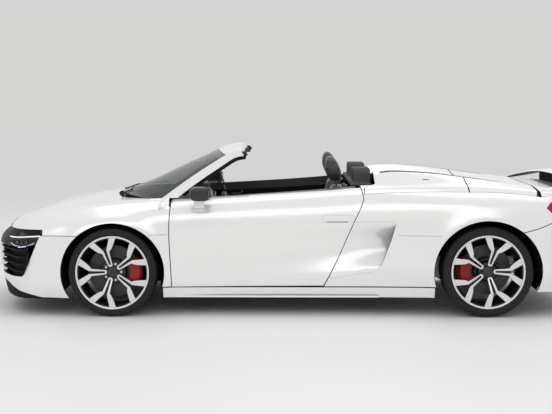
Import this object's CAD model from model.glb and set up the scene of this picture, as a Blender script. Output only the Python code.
import logging
import math
from dataclasses import dataclass, field
from enum import Enum
from typing import Callable, Optional, Sequence, Union

import bmesh
import bpy
import numpy as np
from mathutils import Matrix, Vector
from mathutils.bvhtree import BVHTree


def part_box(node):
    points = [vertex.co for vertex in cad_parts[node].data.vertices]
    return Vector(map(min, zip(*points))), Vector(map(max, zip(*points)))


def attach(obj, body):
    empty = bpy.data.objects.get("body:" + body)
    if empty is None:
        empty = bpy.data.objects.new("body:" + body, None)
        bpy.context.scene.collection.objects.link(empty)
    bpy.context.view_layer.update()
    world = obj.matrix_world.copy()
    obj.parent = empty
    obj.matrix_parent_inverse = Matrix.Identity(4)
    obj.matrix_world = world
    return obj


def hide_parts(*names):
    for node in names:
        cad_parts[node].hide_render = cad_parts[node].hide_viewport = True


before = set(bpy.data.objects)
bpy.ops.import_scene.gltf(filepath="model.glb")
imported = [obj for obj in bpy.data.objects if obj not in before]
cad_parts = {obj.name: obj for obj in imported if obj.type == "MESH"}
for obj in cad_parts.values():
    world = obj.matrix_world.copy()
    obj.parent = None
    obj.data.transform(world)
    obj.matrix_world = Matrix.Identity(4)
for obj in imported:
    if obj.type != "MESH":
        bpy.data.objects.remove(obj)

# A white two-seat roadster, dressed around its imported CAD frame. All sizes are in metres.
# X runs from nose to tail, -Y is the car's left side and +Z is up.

LOG = logging.getLogger("roadster")
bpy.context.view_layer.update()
Triple = tuple[float, float, float]
ROW_RISE = 0.866


class Side(Enum):
    """Which side of the car a piece is on, as the sign of its Y."""

    LEFT = -1
    RIGHT = 1

    @property
    def word(self) -> str:
        """The side's name, as the CAD nodes spell it."""
        return self.name.lower()


class Grain(Enum):
    """The small relief of a finish."""

    PEEL = "peel"
    LEATHER = "leather"
    MOULDED = "moulded"
    CARPET = "carpet"
    CAST = "cast"
    TURNED = "turned"
    CARBON = "carbon"
    RUBBER = "rubber"


NOISE_GRAINS = {
    Grain.PEEL: (220.0, 1.0, 0.00004, 0.25),
    Grain.LEATHER: (24.0, 5.0, 0.0016, 0.3),
    Grain.MOULDED: (900.0, 2.0, 0.0002, 0.35),
    Grain.CARPET: (650.0, 6.0, 0.003, 0.9),
    Grain.CAST: (260.0, 6.0, 0.0006, 0.5),
    Grain.RUBBER: (500.0, 4.0, 0.0004, 0.5),
}
TWILL_SCALE = 110.0
TWILL_TURNS = (0.0, math.pi / 2)


def add_node(tree: bpy.types.NodeTree, kind: str, inputs: Optional[dict] = None,
             **settings: object) -> bpy.types.Node:
    """Adds a node to a tree.

    Args:
        tree: The tree.
        kind: The node's type.
        inputs: Values or outputs for its sockets, by name or number.
        settings: The node's own properties.

    Returns:
        The new node.
    """
    node = tree.nodes.new(kind)
    for key, value in settings.items():
        setattr(node, key, value)
    for key, value in (inputs or {}).items():
        if isinstance(value, bpy.types.NodeSocket):
            tree.links.new(value, node.inputs[key])
        else:
            node.inputs[key].default_value = value
    return node


class Graph:
    """A material's nodes, with short calls that add and join them."""

    def __init__(self, name: str) -> None:
        """Starts a material with an output and a principled shader.

        Args:
            name: The material's name.
        """
        self.material = bpy.data.materials.new(name)
        self.material.use_nodes = True
        self.tree = self.material.node_tree
        self.tree.nodes.clear()
        self.output = self.tree.nodes.new("ShaderNodeOutputMaterial")
        self.shader = self.tree.nodes.new("ShaderNodeBsdfPrincipled")
        self.tree.links.new(self.shader.outputs[0], self.output.inputs["Surface"])
        self.place = self.tree.nodes.new("ShaderNodeTexCoord").outputs["Object"]

    def add(self, kind: str, inputs: Optional[dict] = None, **settings: object) -> bpy.types.Node:
        """Adds a shader node, whose type is given without its prefix."""
        return add_node(self.tree, "ShaderNode" + kind, inputs, **settings)

    def feed(self, socket: str, value: bpy.types.NodeSocket) -> None:
        """Joins an output to the shader."""
        self.tree.links.new(value, self.shader.inputs[socket])

    def preset(self, settings: dict[str, object]) -> None:
        """Sets plain values on the shader's sockets."""
        for socket, value in settings.items():
            self.shader.inputs[socket].default_value = value

    def scaled(self, scale: Union[float, Triple], turn: Triple = (0.0, 0.0, 0.0)) -> bpy.types.NodeSocket:
        """The object's coordinates, scaled and turned.

        Args:
            scale: One factor, or one for each axis.
            turn: Turns about X, Y and Z, in radians.

        Returns:
            The mapped coordinates.
        """
        factors = (scale, scale, scale) if isinstance(scale, (int, float)) else scale
        mapping = self.add("Mapping", {"Vector": self.place, "Scale": factors, "Rotation": turn})
        return mapping.outputs["Vector"]

    def noise(self, scale: float, detail: float = 4.0,
              stretch: Triple = (1.0, 1.0, 1.0)) -> bpy.types.NodeSocket:
        """A noise pattern over the object, from 0 to 1."""
        node = self.add("TexNoise", {"Vector": self.scaled(stretch), "Scale": scale, "Detail": detail})
        return node.outputs["Fac"]

    def wave(self, turn: float, scale: float) -> bpy.types.NodeSocket:
        """Plain waves across the object, turned about Z."""
        inputs = {"Vector": self.scaled(1.0, (0.0, 0.0, turn)), "Scale": scale, "Distortion": 0.0}
        return self.add("TexWave", inputs).outputs["Fac"]

    def remap(self, value: bpy.types.NodeSocket, low: float, high: float, start: float = 0.3,
              end: float = 0.7) -> bpy.types.NodeSocket:
        """A value mapped from start and end to low and high, and held there."""
        node = self.add("MapRange",
                        {"Value": value, "From Min": start, "From Max": end, "To Min": low, "To Max": high})
        return node.outputs["Result"]

    def blend(self, factor: bpy.types.NodeSocket, first: Triple, second: Triple) -> bpy.types.NodeSocket:
        """A colour between two, by a factor."""
        node = self.add("Mix", {"Factor": factor, 6: (*first, 1.0), 7: (*second, 1.0)}, data_type="RGBA")
        return node.outputs[2]

    def relief(self, height: bpy.types.NodeSocket, distance: float, strength: float = 1.0) -> None:
        """Puts a bump on the shader, over any that it has.

        Args:
            height: The pattern.
            distance: Its full depth in metres.
            strength: How strongly it shows.
        """
        inputs = {"Height": height, "Distance": distance, "Strength": strength}
        if self.shader.inputs["Normal"].is_linked:
            inputs["Normal"] = self.shader.inputs["Normal"].links[0].from_socket
        self.feed("Normal", self.add("Bump", inputs).outputs["Normal"])


@dataclass(frozen=True)
class Finish:
    """What a surface is made of and how it is finished."""

    name: str
    color: Triple
    roughness: float
    grain: Grain
    metallic: float = 0.0
    coat: float = 0.0
    coat_roughness: float = 0.04
    specular: float = 0.5
    sheen: float = 0.0
    ior: float = 1.5
    emission: float = 0.0
    shade_scale: float = 2.5
    shade_change: float = 0.06
    rough_change: float = 0.06
    slot: str = "black_plastic"

    def material(self) -> bpy.types.Material:
        """The finish as a material, made once."""
        known = bpy.data.materials.get(self.name)
        return known if known else self.dress(Graph(self.name))

    def dress(self, graph: Graph) -> bpy.types.Material:
        """Fills the material's nodes: its settings, slow changes of shade and gloss, and its relief.

        Args:
            graph: The nodes to fill.

        Returns:
            The finished material.
        """
        graph.preset({
            "Metallic": self.metallic, "Coat Weight": self.coat, "Coat Roughness": self.coat_roughness,
            "Specular IOR Level": self.specular, "Sheen Weight": self.sheen, "IOR": self.ior,
        })
        if self.emission:
            graph.preset({"Emission Color": (*self.color, 1.0), "Emission Strength": self.emission})
        cloud = graph.noise(self.shade_scale, 5.0)
        dark = tuple(c * (1 - self.shade_change) for c in self.color)
        light = tuple(min(1.0, c * (1 + self.shade_change)) for c in self.color)
        self.paint(graph, graph.blend(cloud, dark, light))
        rougher = self.roughness + self.rough_change
        graph.feed("Roughness", graph.remap(graph.noise(self.shade_scale * 7, 3.0), self.roughness, rougher))
        self.grained(graph)
        return graph.material

    def paint(self, graph: Graph, color: bpy.types.NodeSocket) -> None:
        """Joins the colour to the shader."""
        graph.feed("Base Color", color)

    def grained(self, graph: Graph) -> None:
        """Adds the relief that the grain names.

        Args:
            graph: The material's nodes.
        """
        if self.grain is Grain.LEATHER:
            cells = graph.add("TexVoronoi", {"Vector": graph.place, "Scale": 420.0}, feature="SMOOTH_F1")
            graph.relief(cells.outputs["Distance"], 0.0005, 0.5)
        if self.grain is Grain.TURNED:
            graph.relief(graph.noise(60.0, 2.0, (12.0, 1.0, 12.0)), 0.00015, 0.4)
        elif self.grain is Grain.CARBON:
            for turn in TWILL_TURNS:
                graph.relief(graph.wave(turn, TWILL_SCALE), 0.0004, 0.35)
        else:
            scale, detail, depth, strength = NOISE_GRAINS[self.grain]
            graph.relief(graph.noise(scale, detail), depth, strength)


@dataclass(frozen=True)
class CarbonFinish(Finish):
    """Lacquered carbon fibre: a dark twill whose tows change shade."""

    def paint(self, graph: Graph, color: bpy.types.NodeSocket) -> None:
        """Joins a twill of two crossing wave patterns to the shader.

        Args:
            graph: The material's nodes.
            color: The colour's socket.
        """
        waves = [graph.wave(turn, TWILL_SCALE) for turn in TWILL_TURNS]
        twill = graph.add("Math", {0: waves[0], 1: waves[1]}, operation="MULTIPLY").outputs[0]
        bright = tuple(min(1.0, c * 3.2) for c in self.color)
        graph.feed("Base Color", graph.blend(graph.remap(twill, 0.0, 1.0, 0.1, 0.8), self.color, bright))


@dataclass(frozen=True)
class ScreenFinish(Finish):
    """Tinted glass that is clear to shadows, with a faint green shade."""

    tint: float = 0.25

    def dress(self, graph: Graph) -> bpy.types.Material:
        """Mixes a clear tinted pane with a glossy coat, by the view's slant.

        Args:
            graph: The material's nodes.

        Returns:
            The finished material.
        """
        graph.preset({"Roughness": self.roughness, "IOR": self.ior, "Specular IOR Level": self.specular})
        clear = graph.remap(graph.noise(3.0), self.tint * 0.92, self.tint * 1.08)
        dark = tuple(c * 0.9 for c in self.color)
        graph.feed("Base Color", graph.blend(graph.noise(2.0), dark, self.color))
        graph.feed("Alpha", clear)
        graph.material.surface_render_method = "BLENDED"
        return graph.material


PAINT = Finish("white_paint", (0.80, 0.780, 0.755), 0.38, Grain.PEEL, coat=0.55, coat_roughness=0.12,
               shade_change=0.012, slot="white_paint")
SATIN_BLACK = Finish("satin_black_plastic", (0.014, 0.014, 0.015), 0.45, Grain.MOULDED, specular=0.35)
GLOSS_BLACK = Finish("gloss_black", (0.006, 0.006, 0.007), 0.12, Grain.PEEL, coat=0.5, specular=0.35,
                     rough_change=0.04, slot="gloss_black")
MATT_BLACK = Finish("matt_black_plastic", (0.009, 0.009, 0.010), 0.75, Grain.MOULDED, specular=0.2)
LINER = Finish("arch_liner_felt", (0.012, 0.012, 0.012), 0.95, Grain.CARPET, specular=0.1)
TYRE_RUBBER = Finish("tyre_rubber", (0.013, 0.013, 0.014), 0.62, Grain.RUBBER, specular=0.28, slot="tyre")
SEAL_RUBBER = Finish("seal_rubber", (0.016, 0.016, 0.017), 0.55, Grain.RUBBER)
MACHINED = Finish("machined_alloy", (0.74, 0.735, 0.73), 0.26, Grain.TURNED, metallic=0.75, coat=0.4,
                  slot="rim")
RIM_BLACK = Finish("rim_black", (0.008, 0.008, 0.009), 0.35, Grain.PEEL, coat=0.25, specular=0.35,
                   slot="rim")
DISC_STEEL = Finish("disc_steel", (0.065, 0.065, 0.067), 0.42, Grain.TURNED, metallic=0.9, shade_scale=12.0,
                    shade_change=0.15)
CHASSIS_STEEL = Finish("chassis_metal", (0.04, 0.04, 0.042), 0.55, Grain.CAST, metallic=0.6, slot="steel")
CALIPER_RED = Finish("caliper_red", (0.40, 0.006, 0.012), 0.35, Grain.PEEL, coat=0.2, specular=0.3)
ENGINE_METAL = Finish("engine_metal", (0.25, 0.25, 0.26), 0.5, Grain.CAST, metallic=0.7, shade_change=0.2)
LEATHER = Finish("black_leather", (0.026, 0.025, 0.026), 0.42, Grain.LEATHER, sheen=0.15, specular=0.5,
                 shade_change=0.2, slot="leather")
LEATHER_GREY = Finish("grey_leather", (0.085, 0.082, 0.080), 0.46, Grain.LEATHER, sheen=0.15,
                      shade_change=0.12, slot="leather")
TRIM_GREY = Finish("dark_grey_trim", (0.030, 0.032, 0.031), 0.6, Grain.MOULDED, specular=0.35,
                   shade_change=0.15)
CARPET = Finish("black_carpet", (0.022, 0.022, 0.023), 0.95, Grain.CARPET, specular=0.1, sheen=0.3)
SATIN_METAL = Finish("satin_metal_trim", (0.62, 0.62, 0.62), 0.25, Grain.TURNED, metallic=1.0, slot="steel")
CHROME = Finish("bright_metal", (0.80, 0.80, 0.80), 0.08, Grain.PEEL, metallic=1.0, rough_change=0.03,
                slot="steel")
TAIL_RED = Finish("tail_lamp_red", (0.36, 0.004, 0.010), 0.12, Grain.PEEL, coat=0.3, specular=0.35)
LAMP_WHITE = Finish("lamp_light", (0.93, 0.95, 1.0), 0.3, Grain.PEEL, emission=0.9, slot="lamp_lens")
LAMP_BLUE = Finish("lamp_edge_light", (0.70, 0.72, 1.0), 0.3, Grain.PEEL, emission=0.6, slot="lamp_lens")
CARBON = CarbonFinish("carbon_fibre", (0.020, 0.021, 0.022), 0.2, Grain.CARBON, coat=1.0)
TITANIUM = Finish("exhaust_metal", (0.45, 0.44, 0.43), 0.2, Grain.TURNED, metallic=1.0, shade_change=0.15)
DIAL_FACE = Finish("dial_face", (0.03, 0.03, 0.032), 0.35, Grain.MOULDED)
SCREEN_GLASS = ScreenFinish("windscreen_tint", (0.055, 0.075, 0.062), 0.02, Grain.PEEL, specular=0.6,
                            tint=0.42)
SIDE_GLASS = ScreenFinish("side_glass_tint", (0.05, 0.06, 0.055), 0.02, Grain.PEEL, specular=0.6, tint=0.5)
LENS_GLASS = ScreenFinish("lamp_cover", (0.06, 0.062, 0.066), 0.02, Grain.PEEL, specular=0.35, tint=0.14,
                          slot="lamp_lens")
BOWL = Finish("lamp_bowl", (0.16, 0.165, 0.18), 0.2, Grain.PEEL, metallic=1.0, slot="lamp_lens")
SEAL_GREY = Finish("seal_grey", (0.30, 0.30, 0.31), 0.45, Grain.RUBBER)
TAIL_LIGHT = Finish("tail_light_bar", (0.75, 0.02, 0.025), 0.2, Grain.PEEL, coat=0.8, emission=0.25,
                    slot="red_lens")
UNDERSEAL = Finish("panel_underside", (0.010, 0.010, 0.010), 0.85, Grain.CAST, specular=0.2)
MIRROR_SILVER = Finish("mirror_silver", (0.82, 0.83, 0.84), 0.02, Grain.PEEL, metallic=1.0,
                       rough_change=0.01, slot="glass")


@dataclass
class Form:
    """A mesh in the making: points, faces, and each face's finish number."""

    points: list[Vector] = field(default_factory=list)
    faces: list[tuple[int, ...]] = field(default_factory=list)
    marks: list[int] = field(default_factory=list)

    def add(self, points: Sequence[Sequence[float]], faces: Sequence[Sequence[int]],
            mark: int = 0) -> "Form":
        """Adds points and the faces between them.

        Args:
            points: The points.
            faces: Faces as numbers of those points.
            mark: The finish number of the faces.

        Returns:
            This form.
        """
        base = len(self.points)
        self.points += [Vector(p) for p in points]
        self.faces += [tuple(base + i for i in f) for f in faces]
        self.marks += [mark] * len(faces)
        return self

    def join(self, other: "Form") -> "Form":
        """Adds another form, under its own finish numbers.

        Args:
            other: The other form.

        Returns:
            This form.
        """
        base = len(self.points)
        self.points += [p.copy() for p in other.points]
        self.faces += [tuple(base + i for i in f) for f in other.faces]
        self.marks += other.marks
        return self

    def moved(self, change: Callable[[Vector], Sequence[float]]) -> "Form":
        """A copy with every point changed."""
        return Form([Vector(change(p)) for p in self.points], list(self.faces), list(self.marks))

    def mesh(self, name: str) -> bpy.types.Mesh:
        """The form as a mesh of its own.

        Args:
            name: Its name.

        Returns:
            The mesh.
        """
        mesh = bpy.data.meshes.new(name)
        mesh.from_pydata([tuple(p) for p in self.points], [], self.faces)
        return mesh

    @classmethod
    def read(cls, mesh: bpy.types.Mesh) -> "Form":
        """A mesh as a form."""
        faces = [tuple(f.vertices) for f in mesh.polygons]
        return cls([v.co.copy() for v in mesh.vertices], faces, [0] * len(faces))

    def placed(self, matrix: Matrix) -> "Form":
        """A copy moved by a matrix."""
        return self.moved(lambda p: matrix @ p)

    def mirrored(self) -> "Form":
        """The same form on the car's other side."""
        return Form([Vector((p.x, -p.y, p.z)) for p in self.points],
                    [tuple(reversed(f)) for f in self.faces], list(self.marks))


def span(low: float, high: float, count: int) -> list[float]:
    """Evenly spaced values from low to high."""
    return [low + (high - low) * i / (count - 1) for i in range(count)]


def circle(count: int) -> list[tuple[float, float]]:
    """The cosine and sine of evenly spaced angles, once round."""
    return [(math.cos(a), math.sin(a)) for a in span(0, 2 * math.pi, count + 1)[:-1]]


def loft(rings: Sequence[Sequence[Sequence[float]]], closed: bool = True, capped: bool = True,
         mark: int = 0) -> Form:
    """Skins a row of rings that have the same number of points.

    Args:
        rings: The rings, each a list of points.
        closed: Whether each ring joins up.
        capped: Whether the first and last rings are filled.
        mark: The faces' finish number.

    Returns:
        The skin.
    """
    count = len(rings[0])
    points = [p for ring in rings for p in ring]
    steps = count if closed else count - 1
    faces = []
    for i in range(len(rings) - 1):
        for j in range(steps):
            k = (j + 1) % count
            faces.append((i * count + j, i * count + k, (i + 1) * count + k, (i + 1) * count + j))
    if capped:
        faces.append(tuple(reversed(range(count))))
        faces.append(tuple(range((len(rings) - 1) * count, len(rings) * count)))
    return Form().add(points, faces, mark)


def lathe(profile: Sequence[tuple[float, float]], steps: int, mark: int = 0) -> Form:
    """Turns a closed (radius, outboard) profile about the Y axis, with outboard towards -Y.

    Args:
        profile: Its section, as (radius, distance) points.
        steps: How many steps go round.
        mark: The faces' finish number.

    Returns:
        The turned form.
    """
    rings = []
    for k in range(steps + 1):
        a = 2 * math.pi * (k % steps) / steps
        rings.append([(r * math.cos(a), -w, r * math.sin(a)) for r, w in profile])
    return loft(rings, True, False, mark)


def tube(path: Sequence[Vector], radius: Union[float, Callable[[float], float]], sides: int = 10,
         looped: bool = False, flat: float = 1.0) -> Form:
    """A round or oval bar along a path.

    Args:
        path: The points that it follows.
        radius: Its radius, or a function of how far along it is, from 0 to 1.
        sides: How many sides it has.
        looped: Whether its end joins its start.
        flat: The second half-width as a share of the first.

    Returns:
        The bar.
    """
    path = [Vector(p) for p in path]
    count = len(path)
    rings = []
    up = Vector((0.0, 0.0, 1.0))
    for i, p in enumerate(path):
        before = path[(i - 1) % count] if looped or i else p
        after = path[(i + 1) % count] if looped or i < count - 1 else p
        way = (after - before).normalized()
        if abs(way.dot(up)) > 0.95:
            up = Vector((1.0, 0.0, 0.0))
        across = way.cross(up).normalized()
        over = across.cross(way).normalized()
        up = over
        r = radius(i / max(1, count - 1)) if callable(radius) else radius
        ring = []
        for k in range(sides):
            a = 2 * math.pi * k / sides
            ring.append(p + across * (r * math.cos(a)) + over * (r * flat * math.sin(a)))
        rings.append(ring)
    if looped:
        rings.append(rings[0])
    return loft(rings, True, not looped)


def block(low: Triple, high: Triple, cuts: int = 1) -> Form:
    """A box between two corners, each face cut into a grid for bending or rounding.

    Args:
        low: The lower corner.
        high: The upper corner.
        cuts: How many rows of faces each side has.

    Returns:
        The box.
    """
    form = Form()
    spans = [[low[k] + (high[k] - low[k]) * i / cuts for i in range(cuts + 1)] for k in range(3)]
    for axis in range(3):
        u, v = (axis + 1) % 3, (axis + 2) % 3
        for end, value in ((0, low[axis]), (1, high[axis])):
            points, faces = [], []
            for i in range(cuts + 1):
                for j in range(cuts + 1):
                    p = [0.0, 0.0, 0.0]
                    p[axis], p[u], p[v] = value, spans[u][i], spans[v][j]
                    points.append(p)
            for i in range(cuts):
                for j in range(cuts):
                    a = i * (cuts + 1) + j
                    quad = (a, a + cuts + 1, a + cuts + 2, a + 1)
                    faces.append(quad if end else tuple(reversed(quad)))
            form.add(points, faces)
    return form


def patch(outer: Sequence[Sequence[Vector]], inner: Sequence[Sequence[Vector]]) -> Form:
    """A closed plate between two grids of points.

    Args:
        outer: The outer face's rows of points.
        inner: The inner face's rows of points.

    Returns:
        The plate.
    """
    rows, cols = len(outer), len(outer[0])
    points = [p for row in outer for p in row] + [p for row in inner for p in row]
    half = rows * cols
    faces = []
    for i in range(rows - 1):
        for j in range(cols - 1):
            a = i * cols + j
            faces.append((a, a + 1, a + cols + 1, a + cols))
            faces.append((half + a, half + a + cols, half + a + cols + 1, half + a + 1))
    rim = [i * cols for i in range(rows)] + [(rows - 1) * cols + j for j in range(1, cols)]
    rim += [i * cols + cols - 1 for i in range(rows - 2, -1, -1)] + list(range(cols - 2, 0, -1))
    for a, b in zip(rim, rim[1:] + rim[:1]):
        faces.append((a, b, half + b, half + a))
    return Form().add(points, faces)


def prism(outline: Sequence[Sequence[float]], shift: Sequence[float]) -> Form:
    """A flat outline of points given a thickness.

    Args:
        outline: The outline's points.
        shift: The step to its other face.

    Returns:
        The solid.
    """
    count = len(outline)
    far = [Vector(p) + Vector(shift) for p in outline]
    faces = [tuple(range(count)), tuple(reversed(range(count, 2 * count)))]
    faces += [(i, count + i, count + (i + 1) % count, (i + 1) % count) for i in range(count)]
    return Form().add([Vector(p) for p in outline] + far, faces)


def smoothed(points: Sequence[Sequence[float]], count: int) -> list[Vector]:
    """Evenly numbered points along a smooth curve through a few points.

    Args:
        points: The points that it passes through.
        count: How many points to return.

    Returns:
        The points along the curve.
    """
    keys = [Vector(p) for p in points]
    keys = [keys[0] * 2 - keys[1]] + keys + [keys[-1] * 2 - keys[-2]]
    out = []
    for n in range(count):
        t = n * (len(keys) - 3) / (count - 1)
        i = min(int(t), len(keys) - 4)
        f = t - i
        a, b, c, d = keys[i:i + 4]
        out.append(0.5 * ((2 * b) + (c - a) * f + (2 * a - 5 * b + 4 * c - d) * f * f
                          + (3 * b - a - 3 * c + d) * f ** 3))
    return out


class Workshop:
    """Turns forms into finished pieces that ride on their bodies."""

    BEVEL_FROM_DEG = 32
    made: int = 0

    @classmethod
    def piece(cls, name: str, form: Form, finishes: Union[Finish, Sequence[Finish]], body: str = "body",
              slot: str = "",
              bevel: float = 0.0, sharp: float = 40.0, stands_for: Sequence[str] = ()) -> bpy.types.Object:
        """Makes a piece from a form.

        Args:
            name: The piece's name.
            form: Its mesh.
            finishes: Its finish, or several by number.
            body: The CAD body that it rides on.
            slot: The record's material slot, or none for its first finish's own.
            bevel: The rounding of its edges in metres.
            sharp: Edges bent more than this many degrees stay sharp.
            stands_for: CAD nodes that it replaces.

        Returns:
            The piece.
        """
        several = [finishes] if isinstance(finishes, Finish) else finishes
        mesh = form.mesh(name)
        mesh.polygons.foreach_set("material_index", form.marks)
        cls.clean(mesh)
        piece = cls.stand(name, mesh)
        if bevel:
            rounder = piece.modifiers.new("edges", "BEVEL")
            rounder.width = bevel
            rounder.segments = 2
            rounder.limit_method = "ANGLE"
            rounder.angle_limit = math.radians(cls.BEVEL_FROM_DEG)
            rounder.harden_normals = False
        for finish in several:
            mesh.materials.append(finish.material())
        cls.shade(mesh, sharp)
        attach(piece, body)
        if stands_for:
            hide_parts(*stands_for)
        cls.made += 1
        LOG.info("%s on %s: %d faces", piece.name, body, len(mesh.polygons))
        return piece

    @staticmethod
    def stand(name: str, data: bpy.types.ID) -> bpy.types.Object:
        """Puts a mesh, light or camera in the scene as an object.

        Args:
            name: Its name.
            data: The mesh, light or camera.

        Returns:
            The object.
        """
        made = bpy.data.objects.new(name, data)
        bpy.context.scene.collection.objects.link(made)
        return made

    @staticmethod
    def clean(mesh: bpy.types.Mesh) -> None:
        """Merges doubled points and turns every shell's faces outwards.

        Args:
            mesh: The mesh.
        """
        work = bmesh.new()
        work.from_mesh(mesh)
        bmesh.ops.remove_doubles(work, verts=work.verts, dist=1e-6)
        bmesh.ops.recalc_face_normals(work, faces=work.faces)
        work.to_mesh(mesh)
        work.free()

    @staticmethod
    def shade(mesh: bpy.types.Mesh, sharp: float) -> None:
        """Shades a mesh smooth, with edges bent past an angle left sharp."""
        mesh.polygons.foreach_set("use_smooth", [True] * len(mesh.polygons))
        mesh.set_sharp_from_angle(angle=math.radians(sharp))

    @staticmethod
    def cast(name: str, maker: bpy.types.Object) -> Form:
        """The mesh that an object's modifiers make, as a form; the object itself is removed.

        Args:
            name: What is made, for the log.
            maker: The object.

        Returns:
            The mesh as a form.
        """
        bpy.context.view_layer.update()
        evaluated = maker.evaluated_get(bpy.context.evaluated_depsgraph_get())
        mesh = bpy.data.meshes.new_from_object(evaluated)
        maker.modifiers.clear()
        form = Form.read(mesh)
        bpy.data.objects.remove(maker)
        bpy.data.meshes.remove(mesh)
        LOG.info("%s repeated into %d faces", name, len(form.faces))
        return form


class Repeater:
    """Geometry Nodes trees that repeat one part round a wheel or over a grid."""

    @staticmethod
    def tree(name: str, inputs: Sequence[tuple[str, str]]) -> tuple[bpy.types.NodeTree, bpy.types.Node,
                                                                    bpy.types.Node]:
        """Starts a tree with a part, named inputs and a material.

        Args:
            name: Its name.
            inputs: Names and kinds of the tree's size inputs.

        Returns:
            The tree with its input and output nodes.
        """
        group = bpy.data.node_groups.new(name, "GeometryNodeTree")
        group.interface.new_socket("Part", in_out="INPUT", socket_type="NodeSocketGeometry")
        for label, kind in inputs:
            group.interface.new_socket(label, in_out="INPUT", socket_type="NodeSocket" + kind)
        group.interface.new_socket("Finish", in_out="INPUT", socket_type="NodeSocketMaterial")
        group.interface.new_socket("Geometry", in_out="OUTPUT", socket_type="NodeSocketGeometry")
        return group, group.nodes.new("NodeGroupInput"), group.nodes.new("NodeGroupOutput")

    @staticmethod
    def math(group: bpy.types.NodeTree, operation: str, first: object,
             second: object) -> bpy.types.NodeSocket:
        """Arithmetic on two values in a tree.

        Args:
            group: The tree.
            operation: The operation's name.
            first: A value or output.
            second: The other value or output.

        Returns:
            The result's output.
        """
        return add_node(group, "ShaderNodeMath", {0: first, 1: second}, operation=operation).outputs[0]

    @classmethod
    def close(cls, group: bpy.types.NodeTree, start: bpy.types.Node, end: bpy.types.Node,
              points: bpy.types.NodeSocket,
              turn: Optional[bpy.types.NodeSocket]) -> None:
        """Instances the part on points, then realizes it and sets its material.

        Args:
            group: The tree.
            start: The tree's input node.
            end: The tree's output node.
            points: The points' output.
            turn: The copies' turns, or none.
        """
        inputs = {"Points": points, "Instance": start.outputs["Part"]}
        if turn is not None:
            inputs["Rotation"] = turn
        spots = add_node(group, "GeometryNodeInstanceOnPoints", inputs)
        real = add_node(group, "GeometryNodeRealizeInstances", {"Geometry": spots.outputs["Instances"]})
        inputs = {"Geometry": real.outputs["Geometry"], "Material": start.outputs["Finish"]}
        finish = add_node(group, "GeometryNodeSetMaterial", inputs)
        group.links.new(finish.outputs["Geometry"], end.inputs["Geometry"])

    @classmethod
    def line(cls, group: bpy.types.NodeTree,
             count: bpy.types.NodeSocket) -> tuple[bpy.types.Node, bpy.types.NodeSocket]:
        """Points all at one place, as many as the copies, and their numbers."""
        points = add_node(group, "GeometryNodeMeshLine", {"Offset": (0.0, 0.0, 0.0), "Count": count})
        return points, add_node(group, "GeometryNodeInputIndex").outputs[0]

    @classmethod
    def ring_tree(cls) -> bpy.types.NodeTree:
        """A tree that turns copies of its part about the Y axis.

        Returns:
            The tree, made once.
        """
        known = bpy.data.node_groups.get("ring_of_parts")
        if known:
            return known
        group, start, end = cls.tree("ring_of_parts", (("Count", "Int"), ("Start", "Float")))
        line, index = cls.line(group, start.outputs["Count"])
        step = cls.math(group, "DIVIDE", 2 * math.pi, start.outputs["Count"])
        angle = cls.math(group, "ADD", cls.math(group, "MULTIPLY", index, step), start.outputs["Start"])
        turn = add_node(group, "ShaderNodeCombineXYZ", {"Y": angle})
        cls.close(group, start, end, line.outputs["Mesh"], turn.outputs[0])
        return group

    @classmethod
    def grid_tree(cls) -> bpy.types.NodeTree:
        """A tree that lays copies of its part in staggered rows over the Y and Z directions.

        Returns:
            The tree, made once.
        """
        known = bpy.data.node_groups.get("staggered_parts")
        if known:
            return known
        group, start, end = cls.tree("staggered_parts",
                                     (("Columns", "Int"), ("Rows", "Int"), ("Pitch", "Float")))
        total = cls.math(group, "MULTIPLY", start.outputs["Columns"], start.outputs["Rows"])
        line, index = cls.line(group, total)
        row = cls.math(group, "FLOOR", cls.math(group, "DIVIDE", index, start.outputs["Columns"]), 0.0)
        column = cls.math(group, "SUBTRACT", index,
                          cls.math(group, "MULTIPLY", row, start.outputs["Columns"]))
        odd = cls.math(group, "MODULO", row, 2.0)
        across = cls.math(group, "ADD", column, cls.math(group, "MULTIPLY", odd, 0.5))
        y = cls.math(group, "MULTIPLY", across, start.outputs["Pitch"])
        z = cls.math(group, "MULTIPLY", cls.math(group, "MULTIPLY", row, start.outputs["Pitch"]), ROW_RISE)
        place = add_node(group, "ShaderNodeCombineXYZ", {"Y": y, "Z": z}).outputs[0]
        inputs = {"Geometry": line.outputs["Mesh"], "Position": place}
        move = add_node(group, "GeometryNodeSetPosition", inputs)
        cls.close(group, start, end, move.outputs["Geometry"], None)
        return group

    @staticmethod
    def run(name: str, part: Form, group: bpy.types.NodeTree, values: dict[str, float],
            finish: Finish) -> Form:
        """Repeats a part with a tree.

        Args:
            name: What is made, for the log.
            part: One part, in its place.
            group: The tree.
            values: Its inputs by name.
            finish: The parts' finish.

        Returns:
            All the parts.
        """
        maker = Workshop.stand(name, part.mesh(name))
        modifier = maker.modifiers.new("repeat", "NODES")
        modifier.node_group = group
        for item in group.interface.items_tree:
            if item.in_out == "INPUT" and item.name in values:
                modifier[item.identifier] = values[item.name]
            elif item.in_out == "INPUT" and item.name == "Finish":
                modifier[item.identifier] = finish.material()
        return Workshop.cast(name, maker)

    @classmethod
    def ring(cls, name: str, part: Form, count: int, finish: Finish, start: float = 0.0) -> Form:
        """Copies of a part turned about the Y axis."""
        return cls.run(name, part, cls.ring_tree(), {"Count": count, "Start": start}, finish)

    @classmethod
    def grid(cls, name: str, part: Form, columns: int, rows: int, pitch: float, finish: Finish) -> Form:
        """Copies of a part in staggered rows."""
        return cls.run(name, part, cls.grid_tree(), {"Columns": columns, "Rows": rows, "Pitch": pitch},
                       finish)


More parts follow.
